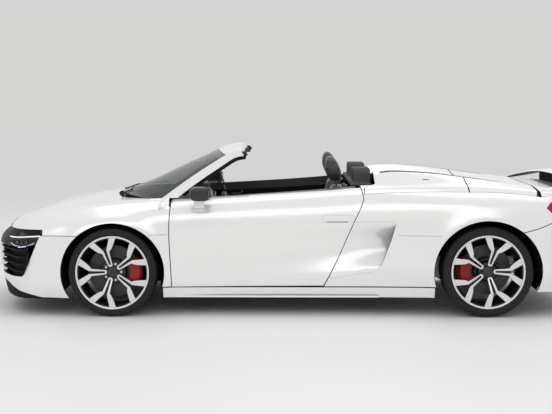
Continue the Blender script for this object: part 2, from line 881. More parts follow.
class Surface:
    """The outer faces of some CAD nodes, to fit pieces on."""

    def __init__(self, nodes: Sequence[str]) -> None:
        """Gathers the nodes' triangles.

        Args:
            nodes: The CAD nodes' names.
        """
        points: list[Vector] = []
        faces: list[tuple[int, ...]] = []
        for name in nodes:
            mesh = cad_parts[name].data
            base = len(points)
            points += [v.co.copy() for v in mesh.vertices]
            faces += [tuple(base + i for i in f.vertices) for f in mesh.polygons]
        self.tree = BVHTree.FromPolygons(points, faces)

    def hit(self, start: Sequence[float], way: Sequence[float]) -> Optional[tuple[Vector, Vector]]:
        """The first point that a ray meets, and the outward direction there.

        Args:
            start: Where the ray starts.
            way: The direction of the ray.

        Returns:
            The point and direction, or none.
        """
        place, normal, _, _ = self.tree.ray_cast(Vector(start), Vector(way))
        if place is None:
            return None
        return place, normal if normal.dot(Vector(way)) < 0 else -normal

    def side(self, x: float, z: float, side: Side) -> tuple[Vector, Vector]:
        """The point on a side of the car at a place along and up it."""
        found = self.hit((x, side.value * 2.0, z), (0.0, -side.value, 0.0))
        return found if found else (Vector((x, side.value * 0.9, z)), Vector((0.0, side.value, 0.0)))

@dataclass
class OnSide:
    """A sub-assembly that is made once for each side of the car."""

    side: Side

    @property
    def door(self) -> str:
        """The name of this side's door, as CAD node and as body."""
        return f"door_{self.side.word}"

    def make(self, stem: str, form: Form, finishes: Union[Finish, Sequence[Finish]], body: str = "body",
             **options: object) -> bpy.types.Object:
        """Makes a piece whose name ends with the side."""
        return Workshop.piece(f"{stem}_{self.side.word}", form, finishes, body, **options)


@dataclass
class Wheel(OnSide):
    """One wheel: tyre with its tread, two-tone rim, bolts, cap and disc."""

    place: str
    x: float
    track: float
    radius: float
    width: float
    first_pair: float
    rim_radius: float = 0.262
    rim_inset: float = 0.0025
    pairs: int = 5
    tread_steps: int = 72
    bolt_circle: float = 0.056

    @property
    def body(self) -> str:
        """The CAD body that turns with this wheel."""
        return f"wheel_{self.place}_{self.side.word}"

    def node(self, kind: str) -> str:
        """The CAD node of one of this wheel's pieces."""
        return f"{kind}_{self.place}_{self.side.word}"

    def put(self, form: Form) -> Form:
        """Moves a form from the wheel's own frame onto the car.

        Args:
            form: The form.

        Returns:
            The form in its place.
        """
        offset = Vector((self.x, -self.track / 2, self.radius))
        placed = form.moved(lambda p: p + offset)
        return placed.mirrored() if self.side is Side.RIGHT else placed

    def build(self) -> None:
        """Makes and dresses every piece of the wheel."""
        self.tyre()
        self.rim()
        self.cap_and_bolts()

    def tyre(self) -> None:
        """The carcass with rounded shoulders and raised rings, and blocks round its tread."""
        half = self.width / 2
        bead = half - self.rim_inset - 0.018
        r = self.radius
        base = r - 0.0065
        side = [(0.2405, bead), (0.2606, half - self.rim_inset - 0.010), (0.2650, half - 0.0045),
                (0.2700, half - 0.0015),
                (0.2745, half - 0.0004), (0.2760, half - 0.0024), (0.2800, half - 0.0020),
                (0.2880, half - 0.0008),
                (r - 0.024, half - 0.0024), (r - 0.0225, half - 0.0044), (r - 0.0205, half - 0.0040),
                (r - 0.011, half - 0.0085), (r - 0.0055, half - 0.0140), (r - 0.0045, half - 0.0200)]
        tread = [(base, half - 0.024), (base, 0.024 - half)]
        inside = [(0.2405, 0.014 - bead), (0.266, 0.022 - half), (r - 0.017, 0.022 - half),
                  (r - 0.017, half - 0.022),
                  (0.266, half - 0.022), (0.2405, bead - 0.014)]
        profile = side + tread + [(a, -b) for a, b in reversed(side)] + inside
        form = lathe(profile, 96)
        form.join(self.tread(half, base))
        self.make(f"tyre_with_tread_{self.place}", self.put(form), TYRE_RUBBER, self.body, sharp=28,
                  stands_for=[self.node("tyre")])

    def tread(self, half: float, base: float) -> Form:
        """The tread's blocks: slanted shoulder bars and three centre ribs, cut by sipes.

        Args:
            half: Half of the tyre's width.
            base: The radius under the blocks.

        Returns:
            The blocks.
        """
        top = self.radius
        step = 2 * math.pi / self.tread_steps
        bars = Form()
        reach = half - 0.022
        edges = [-1.0, -0.62, -0.54, -0.22, -0.15, 0.15, 0.22, 0.54, 0.62, 1.0]
        for k in range(0, len(edges), 2):
            low, high = edges[k] * reach, edges[k + 1] * reach
            shoulder = k in (0, len(edges) - 2)
            slant = 0.22 if shoulder else (0.5 if k != 4 else 0.0)
            gap = 0.13 if shoulder else (0.10 if k != 4 else 0.03)
            corners = []
            for w, lead in ((low, slant * (1 if k < 4 else -1)), (high, 0.0)):
                for end in (gap / 2, 1 - gap / 2):
                    corners.append(((end + lead * 0.5) * step, w))
            outline = [corners[0], corners[1], corners[3], corners[2]]
            rings = []
            for radius in (base - 0.001, top - 0.0008, top):
                inset = 0.0 if radius < top else 0.0006
                ring = []
                for angle, w in outline:
                    middle_w = (low + high) / 2
                    drop = 0.0035 if shoulder and abs(w) > reach * 0.9 else 0.0
                    ring.append((radius - drop, angle, w + inset * (1 if w < middle_w else -1)))
                rings.append([(rr * math.cos(t), -ww, rr * math.sin(t)) for rr, t, ww in ring])
            bars.join(loft(rings))
        return Repeater.ring(f"tread_{self.place}_{self.side.word}", bars, self.tread_steps, TYRE_RUBBER)

    def arm(self, sign: int, face: float) -> Form:
        """One arm of a spoke pair: thin from the hub, kinked, then wide to the rim.

        Args:
            sign: Which arm of the pair, 1 or -1.
            face: How far outboard the spokes' faces are.

        Returns:
            The arm, with its outer face marked as machined.
        """
        stations = [(0.048, 0.0108, 0.0048), (0.075, 0.0126, 0.0058), (0.105, 0.0146, 0.0068),
                    (0.146, 0.0178, 0.0084),
                    (0.158, 0.0205, 0.0118), (0.168, 0.0305, 0.0158), (0.187, 0.0450, 0.0182),
                    (0.208, 0.0595, 0.0202),
                    (0.230, 0.0735, 0.0222), (0.2430, 0.0820, 0.0240)]
        rings = []
        for i, (a, c, half) in enumerate(stations):
            before, after = stations[max(0, i - 1)], stations[min(len(stations) - 1, i + 1)]
            way = Vector((after[0] - before[0], after[1] - before[1])).normalized()
            across = Vector((-way.y, way.x))
            radius = math.hypot(a, c)
            w = face - 0.030 * max(0.0, 1 - (radius - 0.05) / 0.16) ** 1.6
            back = w - 0.018 - 0.010 * min(1.0, radius / 0.2)
            ring = []
            for reach, depth in ((-1.0, w), (1.0, w), (1.12, w - 0.0025), (1.22, back), (-1.22, back),
                                 (-1.12, w - 0.0025)):
                ring.append((a + across.x * half * reach, -depth, (c + across.y * half * reach) * sign))
            rings.append(ring)
        form = loft(rings)
        form.marks = [0 if (i % 6) == 0 and i < 6 * (len(stations) - 1) else 1
                      for i in range(len(form.faces))]
        return form

    def rim(self) -> None:
        """The barrel, lip and hub, with five pairs of spokes turned about the axle."""
        half = self.width / 2 - self.rim_inset
        face = half - 0.010
        barrel = [(0.262, half - 0.001), (0.262, half - 0.008), (0.240, half - 0.014), (0.236, 0.0),
                  (0.240, 0.014 - half),
                  (0.262, 0.008 - half), (0.262, -half), (0.231, 0.004 - half), (0.227, 0.040 - half),
                  (0.226, 0.0),
                  (0.232, half - 0.045), (0.246, half - 0.013), (0.2505, half - 0.0035)]
        lip = [(0.2465, half - 0.0040), (0.2520, half), (0.2605, half), (0.2612, half - 0.004),
               (0.2465, half - 0.008)]
        hub = [(0.024, 0.048), (0.078, 0.048), (0.078, 0.060), (0.062, face - 0.044), (0.046, face - 0.038),
               (0.042, face - 0.031), (0.024, face - 0.031)]
        form = lathe(barrel, 96, 1)
        form.join(lathe(lip, 96, 0))
        form.join(lathe(hub, 64, 1))
        pair = self.arm(1, face).join(self.arm(-1, face))
        bridge = []
        for a, c in ((0.040, 0.0), (0.0425, 0.0105), (0.050, 0.0150), (0.056, 0.0070), (0.056, -0.0070),
                     (0.050, -0.0150),
                     (0.0425, -0.0105)):
            bridge.append((a, -(face - 0.029), c))
        marks = pair.marks + [0] * 9
        pair.join(prism(bridge, (0.0, 0.012, 0.0)))
        spokes = Repeater.ring(f"spokes_{self.place}_{self.side.word}", pair, self.pairs, MACHINED,
                               math.radians(self.first_pair))
        spokes.marks = (marks * self.pairs)[:len(spokes.faces)]
        form.join(spokes)
        self.make(f"two_tone_rim_{self.place}", self.put(form), [MACHINED, RIM_BLACK], self.body,
                  bevel=0.0012, sharp=30, stands_for=[self.node("rim")])

    def cap_and_bolts(self) -> None:
        """The blank hub cap and five bolts between the spokes."""
        half = self.width / 2 - self.rim_inset
        face = half - 0.010
        cap = lathe([(0.0, face - 0.0335), (0.0, face - 0.0225), (0.016, face - 0.0215),
                     (0.029, face - 0.0225),
                     (0.034, face - 0.0255), (0.0355, face - 0.030), (0.0355, face - 0.0335)], 48)
        ring = lathe([(0.0355, face - 0.0325), (0.0355, face - 0.0280), (0.0375, face - 0.0275),
                      (0.0385, face - 0.0325)], 48, 1)
        self.make(f"hub_cap_{self.place}", self.put(cap.join(ring)), [GLOSS_BLACK, RIM_BLACK], self.body,
                  slot="rim")
        six = [(0.0085 * math.cos(math.pi * k / 3), 0.0085 * math.sin(math.pi * k / 3)) for k in range(6)]
        rings = []
        for w, grow in ((0.050, 1.0), (0.068, 1.0), (0.0715, 0.8)):
            rings.append([(self.bolt_circle + a * grow, -w, c * grow) for a, c in six])
        seat = [(self.bolt_circle + 0.012 * math.cos(math.pi * k / 8), -0.0605,
                 0.012 * math.sin(math.pi * k / 8)) for k in range(16)]
        bolt = loft(rings).join(prism(seat, (0.0, -0.002, 0.0)))
        start = math.radians(self.first_pair) + math.pi / self.pairs
        bolts = Repeater.ring(f"bolts_{self.place}_{self.side.word}", bolt, self.pairs, CHROME, start)
        self.make(f"wheel_bolts_{self.place}", self.put(bolts), SATIN_METAL, self.body, slot="rim",
                  bevel=0.0006)


@dataclass
class Paintwork:
    """The finishes of the CAD nodes that stay as they are."""

    finishes: dict[str, Finish] = field(default_factory=lambda: {
        "front_bumper": PAINT, "front_fenders": PAINT, "bonnet": PAINT, "windscreen_frame": PAINT,
        "rear_quarters": PAINT,
        "side_intakes": PAINT, "side_sills": PAINT, "rear_bumper": PAINT, "tonneau_cover": PAINT,
        "engine_lid": PAINT,
        "tail_deck": PAINT, "rear_wing": PAINT, "front_splitter": MATT_BLACK, "front_grilles": MATT_BLACK,
        "rear_vents": GLOSS_BLACK, "cowl_panel": SATIN_BLACK, "windscreen_glass": SCREEN_GLASS,
        "windscreen_trim": MATT_BLACK,
        "deck_frame": SEAL_RUBBER, "diffuser": CARBON, "engine_block": ENGINE_METAL, "floor_tub": CARPET,
        "luggage_tub": CARPET,
        "arch_liners": LINER, "front_suspension": CHASSIS_STEEL, "rear_suspension": CHASSIS_STEEL,
        "rear_knuckles": CHASSIS_STEEL,
        "rear_calipers": CALIPER_RED, "exhaust_tips": TITANIUM, "cabin_bulkhead": TRIM_GREY,
        "dashboard": LEATHER,
        "tail_lamps": TAIL_RED, "headlamps": GLOSS_BLACK, "seats": LEATHER, "steering_wheel": LEATHER,
    })
    sided: dict[str, Finish] = field(default_factory=lambda: {
        "door": PAINT, "door_trim": LEATHER, "door_mirror": GLOSS_BLACK, "quarter_window": SIDE_GLASS,
        "knuckle_front": CHASSIS_STEEL, "caliper_front": CALIPER_RED, "brake_disc_front": DISC_STEEL,
        "brake_disc_rear": DISC_STEEL, "rim_front": RIM_BLACK, "rim_rear": RIM_BLACK,
        "tyre_front": TYRE_RUBBER,
        "tyre_rear": TYRE_RUBBER,
    })

    all_round: tuple[str, ...] = ("windscreen_frame", "rear_wing", "side_intakes")

    def build(self) -> None:
        """Gives every CAD node its finish."""
        choice = dict(self.finishes)
        for stem, finish in self.sided.items():
            for side in Side:
                choice[f"{stem}_{side.word}"] = finish
        for name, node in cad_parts.items():
            finish = choice[name]
            node.data.materials.clear()
            node.data.materials.append(finish.material())
            if finish is PAINT and name not in self.all_round:
                self.back_side(node.data)
            LOG.info("node %s: %s", name, finish.name)

    def back_side(self, mesh: bpy.types.Mesh) -> None:
        """Gives a panel's inner faces a dark finish.

        Args:
            mesh: The mesh.
        """
        mesh.materials.append(UNDERSEAL.material())
        for polygon in mesh.polygons:
            centre = polygon.center
            out = centre - Vector((centre.x * 0.8, 0.0, 0.35))
            polygon.material_index = 0 if polygon.normal.dot(out) > 0 else 1


@dataclass
class Studio:
    """The floor, the lights and the camera at the photograph's place."""

    camera_place: Triple = (-0.032, -9.95, 1.574)
    pitch_deg: float = 5.02
    yaw_deg: float = 0.60
    lens_mm: float = 84.2
    floor_tone: float = 0.84
    seen_color: tuple[float, float, float, float] = (0.66, 0.657, 0.65, 1.0)
    surround: float = 0.76

    def build(self) -> None:
        """Sets up the studio."""
        self.camera()
        self.floor()
        self.world()
        for name, place, aim, size, power in (
            ("key_light", (-1.0, -8.0, 4.6), (0.0, 0.0, 0.3), (9.0, 4.5), 120.0),
            ("top_light", (0.5, 0.0, 6.0), (0.5, 0.0, 0.5), (7.0, 3.5), 80.0),
            ("back_light", (2.0, 6.5, 4.0), (0.0, 0.0, 0.5), (6.0, 2.0), 40.0),
        ):
            self.light(name, place, aim, size, power)

    def camera(self) -> None:
        """The camera, as far off and as high as the photograph's."""
        data = bpy.data.cameras.new("camera")
        data.lens = self.lens_mm
        data.sensor_width = 36.0
        data.sensor_fit = "HORIZONTAL"
        camera = Workshop.stand("camera", data)
        camera.location = self.camera_place
        camera.rotation_euler = (math.radians(90 - self.pitch_deg), 0.0, math.radians(self.yaw_deg))
        bpy.context.scene.camera = camera

    def floor(self) -> None:
        """A plain pale floor."""
        mesh = bpy.data.meshes.new("studio_floor")
        mesh.from_pydata([(-40, -40, 0), (40, -40, 0), (40, 40, 0), (-40, 40, 0)], [], [(0, 1, 2, 3)])
        floor = Workshop.stand("studio_floor", mesh)
        graph = Graph("studio_floor")
        graph.preset({"Roughness": 0.6})
        tone = graph.blend(graph.noise(0.6), (self.floor_tone * 0.985,) * 3, (self.floor_tone * 1.015,) * 3)
        graph.feed("Base Color", tone)
        mesh.materials.append(graph.material)

    def world(self) -> None:
        """An even pale surround that lights the car softly and shows behind it."""
        world = bpy.data.worlds.new("studio")
        bpy.context.scene.world = world
        world.use_nodes = True
        tree = world.node_tree
        tree.nodes.clear()
        seen = add_node(tree, "ShaderNodeBackground", {"Color": self.seen_color, "Strength": 1.0})
        light = add_node(tree, "ShaderNodeBackground", {"Color": (1.0, 1.0, 1.0, 1.0), "Strength": self.surround})
        path = add_node(tree, "ShaderNodeLightPath")
        inputs = {0: path.outputs["Is Camera Ray"], 1: light.outputs[0], 2: seen.outputs[0]}
        mix = add_node(tree, "ShaderNodeMixShader", inputs)
        add_node(tree, "ShaderNodeOutputWorld", {"Surface": mix.outputs[0]})

    @staticmethod
    def light(name: str, place: Triple, aim: Triple, size: tuple[float, float], power: float) -> None:
        """A soft rectangular light that points at a place.

        Args:
            name: The light's name.
            place: Where it stands.
            aim: What it points at.
            size: Its width and height.
            power: Its power in watts.
        """
        data = bpy.data.lights.new(name, "AREA")
        data.shape = "RECTANGLE"
        data.size, data.size_y = size
        data.energy = power
        lamp = Workshop.stand(name, data)
        lamp.location = place
        lamp.rotation_euler = (Vector(aim) - Vector(place)).to_track_quat("-Z", "Y").to_euler()


def fitted(surface: Surface, starts: Sequence[Sequence[Vector]], way: Sequence[float], low: float,
           high: float) -> Form:
    """A plate that lies on a surface.

    Args:
        surface: The surface.
        starts: A grid of points from which the surface is looked for.
        way: The direction in which it is looked for.
        low: The plate's inner height over the surface.
        high: Its outer height.

    Returns:
        The plate; rays that miss fall back to their neighbour's place.
    """
    outer, inner = [], []
    last: Optional[tuple[Vector, Vector]] = None
    for row in starts:
        upper, lower = [], []
        for start in row:
            found = surface.hit(start, way) or last
            if found is None:
                found = (Vector(start) + Vector(way), -Vector(way))
            last = found
            upper.append(found[0] + found[1] * high)
            lower.append(found[0] + found[1] * low)
        outer.append(upper)
        inner.append(lower)
    return patch(outer, inner)


def node_form(name: str, keep: Callable[[Vector, Vector], bool]) -> Form:
    """The faces of a CAD node that a test keeps, as a form.

    Args:
        name: The node's name.
        keep: A test of a face's centre and normal.

    Returns:
        The kept faces.
    """
    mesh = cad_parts[name].data
    numbers: dict[int, int] = {}
    form = Form()
    for polygon in mesh.polygons:
        if not keep(polygon.center, polygon.normal):
            continue
        for index in polygon.vertices:
            if index not in numbers:
                numbers[index] = len(form.points)
                form.points.append(mesh.vertices[index].co.copy())
        form.faces.append(tuple(numbers[i] for i in polygon.vertices))
        form.marks.append(0)
    return form


def thickened(name: str, sheet: Form, depth: float) -> Form:
    """A sheet of faces given a thickness inwards.

    Args:
        name: What is made, for the log.
        sheet: The faces.
        depth: The thickness in metres.

    Returns:
        The closed shell.
    """
    mesh = sheet.mesh(name)
    work = bmesh.new()
    work.from_mesh(mesh)
    bmesh.ops.remove_doubles(work, verts=work.verts, dist=2e-5)
    work.to_mesh(mesh)
    work.free()
    maker = Workshop.stand(name, mesh)
    shell = maker.modifiers.new("thickness", "SOLIDIFY")
    shell.thickness = depth
    shell.offset = -1.0
    return Workshop.cast(name, maker)


def flat_faced(form: Form) -> Form:
    """A form whose flat triangles are joined into whole faces, ready for its edges to be rounded.

    Args:
        form: The triangles.

    Returns:
        The joined faces.
    """
    mesh = form.mesh("joined")
    work = bmesh.new()
    work.from_mesh(mesh)
    bmesh.ops.remove_doubles(work, verts=work.verts, dist=1e-5)
    bmesh.ops.dissolve_limit(work, angle_limit=0.02, verts=work.verts, edges=work.edges)
    work.to_mesh(mesh)
    work.free()
    joined = Form.read(mesh)
    bpy.data.meshes.remove(mesh)
    return joined


@dataclass
class SmoothPanels:
    """CAD shapes in smooth or rounded copies that stand for their nodes."""

    wing: str = "rear_wing"
    bulkhead: str = "cabin_bulkhead"
    hoop_rounding: float = 0.014

    def build(self) -> None:
        """Makes the wing and the bulkhead with its rollover hoops."""
        wing = node_form(self.wing, lambda centre, normal: True)
        for k, face in enumerate(wing.faces):
            a, b, c = (wing.points[i] for i in face[:3])
            normal = (b - a).cross(c - a).normalized()
            wing.marks[k] = 1 if normal.z < -0.25 or (abs(normal.y) > 0.8 and abs(a.y) < 0.7) else 0
        Workshop.piece("smooth_wing", wing, [PAINT, SATIN_BLACK], sharp=50, stands_for=[self.wing])
        wall = node_form(self.bulkhead, lambda centre, normal: True)
        Workshop.piece("bulkhead_and_hoops", flat_faced(wall), TRIM_GREY, bevel=self.hoop_rounding,
                       sharp=50, stands_for=[self.bulkhead])


@dataclass
class Headlamp(OnSide):
    """A headlamp: a clear cover over a dark housing with a light bar, reflectors and small lights."""

    def build(self) -> None:
        """Makes the lamp's pieces."""
        surface = Surface(["headlamps"])
        sign = self.side.value
        word = self.side.word

        def mine(centre: Vector) -> bool:
            """Whether a face belongs to this side's lamp."""
            return centre.y * sign > 0

        def outward(centre: Vector, normal: Vector) -> bool:
            """Whether a face of this lamp looks outwards."""
            return mine(centre) and normal.dot(Vector((-0.6, sign * 0.7, 0.35))) > 0.35

        cover = thickened("lamp_cover", node_form("headlamps", outward), 0.003)
        Workshop.piece(f"lamp_cover_{word}", cover, LENS_GLASS, sharp=50)
        inner = node_form("headlamps", lambda centre, normal: mine(centre) and not outward(centre, normal))
        housing = thickened("lamp_housing", inner, 0.002)
        piece = Workshop.piece(f"lamp_housing_{word}", housing, GLOSS_BLACK)
        if self.side is Side.LEFT:
            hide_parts("headlamps")
        self.bar(surface)
        self.reflectors(surface)
        self.arc(surface)

    def at(self, surface: Surface, x: float, z: float, depth: float) -> Vector:
        """A point behind the lamp's surface, seen from the side."""
        place, normal = surface.side(x, z, self.side)
        return place - normal * depth

    def bar(self, surface: Surface) -> None:
        """The straight daytime light along the top, with a dark lid over it.

        Args:
            surface: The surface that it follows.
        """
        path = [self.at(surface, x, 0.556 + (x + 2.02) * 0.06, 0.012) for x in span(-2.05, -1.80, 15)]
        self.make("light_bar", tube(path, 0.0055, 8, flat=0.8), LAMP_WHITE)
        sill = [self.at(surface, x, 0.541 + (x + 2.02) * 0.06, 0.020) for x in span(-2.05, -1.81, 15)]
        self.make("light_shelf", tube(sill, 0.0065, 8, flat=0.5), GLOSS_BLACK, slot="lamp_lens")

    def reflectors(self, surface: Surface) -> None:
        """Two dark bright-rimmed reflector bowls.

        Args:
            surface: The surface that it follows.
        """
        form = Form()
        for x, z, size in ((-2.00, 0.522, 0.024), (-1.915, 0.523, 0.022)):
            centre = self.at(surface, x, z, 0.030)
            normal = Vector((-0.35, self.side.value * 0.9, 0.1)).normalized()
            turn = normal.to_track_quat("Z", "Y").to_matrix().to_4x4()
            profile = ((1.0, 0.010), (0.92, 0.013), (0.84, 0.010), (0.55, -0.006), (0.2, -0.010),
                       (0.05, -0.010), (0.05, -0.013), (1.02, -0.004), (1.0, 0.010))
            rings = [[(size * r * c, size * r * s, h) for c, s in circle(32)] for r, h in profile]
            form.join(loft(rings, True, False).placed(Matrix.Translation(centre) @ turn))
        self.make("reflectors", form, BOWL)

    def arc(self, surface: Surface) -> None:
        """A smile-shaped row of small lights under the reflectors.

        Args:
            surface: The surface that it follows.
        """
        form = Form()
        for k in range(21):
            f = k / 20
            x = -2.035 + 0.19 * f
            z = 0.487 + 0.022 * (2 * f - 1) ** 2 + 0.008 * f
            centre = self.at(surface, x, z, 0.010)
            light = block((-0.0034, -0.0025, -0.0034), (0.0034, 0.0025, 0.0034))
            form.join(light.placed(Matrix.Translation(centre)))
        self.make("light_arc", form, LAMP_BLUE, bevel=0.0008)


@dataclass
class Grille:
    """A honeycomb behind the centre grille's blades."""

    half_width: float = 0.36
    low_z: float = 0.262
    high_z: float = 0.535
    pitch: float = 0.024

    def build(self) -> None:
        """Repeats one cell and lays the sheet along the nose's curve."""
        surface = Surface(["front_grilles"])
        corners = [math.pi * (k + 0.5) / 3 for k in range(6)]
        outer = [(self.pitch * 0.577 * math.cos(a), self.pitch * 0.577 * math.sin(a)) for a in corners]
        rings = []
        for depth, share in ((0.0, 1.0), (0.0, 0.84), (0.006, 0.84), (0.006, 1.0), (0.0, 1.0)):
            rings.append([(depth, y * share, z * share) for y, z in outer])
        cell = loft(rings, True, False)
        columns = int(2 * self.half_width / self.pitch)
        rows = int((self.high_z - self.low_z) / (self.pitch * ROW_RISE))
        sheet = Repeater.grid("honeycomb", cell, columns, rows, self.pitch, GLOSS_BLACK)
        depths: dict[tuple[int, int], float] = {}

        def bent(p: Vector) -> Vector:
            """A point of the flat sheet, laid behind the blades.

            Args:
                p: The point.

            Returns:
                Its new place.
            """
            y = p.y - self.half_width
            z = p.z + self.low_z
            key = (round(y * 200), round(z * 200))
            if key not in depths:
                found = surface.hit((-3.0, y, z), (1.0, 0.0, 0.0))
                depths[key] = found[0].x if found else -2.17
            return Vector((max(depths[key], -2.205 + 0.9 * y * y) + 0.002 + p.x, y, z))

        Workshop.piece("grille_honeycomb", sheet.moved(bent), GLOSS_BLACK)


class ScreenShape:
    """The windscreen's curved surface, from how far across it and how far up a point is."""

    CENTRE = ((-1.303, 0.0, 0.836), (-1.111, 0.0, 0.912), (-0.933, 0.0, 0.996), (-0.751, 0.0, 1.082),
              (-0.567, 0.0, 1.156))
    EDGE = ((-0.953, 0.742, 0.812), (-0.715, 0.668, 0.984), (-0.491, 0.596, 1.128))
    STEPS = 101

    def __init__(self) -> None:
        """Prepares the surface's centre line, its edge and the CAD glass to snap to."""
        self.middle = smoothed(self.CENTRE, self.STEPS)
        self.edge = smoothed(self.EDGE, self.STEPS)
        self.glass = Surface(["windscreen_glass"])

    def place(self, across: float, up: float) -> tuple[Vector, Vector]:
        """A point on the glass and the outward direction there.

        Args:
            across: The share across, from -1 to 1.
            up: The share up, from 0 to 1.

        Returns:
            The point and the outward direction.
        """
        k = min(self.STEPS - 1, max(0, round(up * (self.STEPS - 1))))
        a = abs(across) ** 2.4
        x = self.middle[k].x + (self.edge[k].x - self.middle[k].x) * a
        z = self.middle[k].z + (self.edge[k].z - self.middle[k].z) * a
        point = Vector((x, self.edge[k].y * across, z))
        out = Vector((-0.5, 0.0, 0.87)).normalized()
        found = self.glass.hit(point + out * 0.06, -out)
        return (found[0], out) if found else (point, out)


@dataclass
class WindscreenDetail:
    """The dark printed border, grey seals and roof latches."""

    border: float = 0.055
    lift: float = 0.0004

    def build(self) -> None:
        """Makes the border, the seals and the latches."""
        shape = ScreenShape()
        form = Form()
        for sign in (-1, 1):
            edges = (sign * (0.992 - self.border), sign * 0.992)
            form.join(self.strip(shape, edges, span(0.0, 0.985, 33), True))
        for limits in ((0.90, 0.985), (0.004, 0.05)):
            form.join(self.strip(shape, limits, span(-0.935, 0.935, 33), False))
        Workshop.piece("windscreen_border", form, GLOSS_BLACK)
        for side in Side:
            path = []
            for up in span(0.0, 0.98, 33):
                place, out = shape.place(side.value * 0.990, up)
                path.append(place + out * 0.0025)
            Workshop.piece(f"screen_seal_{side.word}", tube(path, 0.0036, 8), SEAL_GREY)
            self.latch(side)

    def strip(self, shape: ScreenShape, limits: tuple[float, float], run: Sequence[float],
              upright: bool) -> Form:
        """A thin band on the glass between two limits, along a run.

        Args:
            shape: The windscreen's surface.
            limits: The band's two edges.
            run: The steps along it.
            upright: Whether it runs up the glass.

        Returns:
            The strip.
        """
        low, high = limits
        outer, inner = [], []
        for t in run:
            upper, lower = [], []
            for share in span(0.0, 1.0, 4):
                a = low + (high - low) * share
                place, out = shape.place(a, t) if upright else shape.place(t, a)
                upper.append(place + out * (self.lift + 0.0006))
                lower.append(place + out * self.lift)
            outer.append(upper)
            inner.append(lower)
        return patch(outer, inner)

    def latch(self, side: Side) -> None:
        """The hook on the header's rear corner that takes the folded roof's catch.

        Args:
            side: The side of the car.
        """
        surface = Surface(["windscreen_frame", "windscreen_trim"])
        y = side.value * 0.555
        found = [hit[0]
                 for hit in (surface.hit((x, y, 2.0), (0.0, 0.0, -1.0)) for x in span(-0.300, -0.460, 33))
                 if hit]
        x, base = (found[0].x - 0.026, found[2].z - 0.002) if len(found) > 2 else (-0.36, 1.14)
        outline = [(x - 0.055, base + 0.001), (x + 0.024, base - 0.006), (x + 0.040, base + 0.010),
                   (x + 0.026, base + 0.030),
                   (x + 0.004, base + 0.036), (x - 0.020, base + 0.026), (x - 0.048, base + 0.022)]
        hook = prism([(a, y - 0.014, b) for a, b in outline], (0.0, 0.028, 0.0))
        Workshop.piece(f"roof_latch_{side.word}", hook, SATIN_BLACK, bevel=0.003)
        pin = lathe([(0.0, 0.0), (0.006, 0.0), (0.006, 0.0175), (0.0, 0.0175)], 20)
        if side is Side.RIGHT:
            pin = pin.mirrored()
        pin = pin.moved(lambda p: p + Vector((x + 0.006, y, base + 0.012)))
        Workshop.piece(f"latch_pin_{side.word}", pin, CHROME)


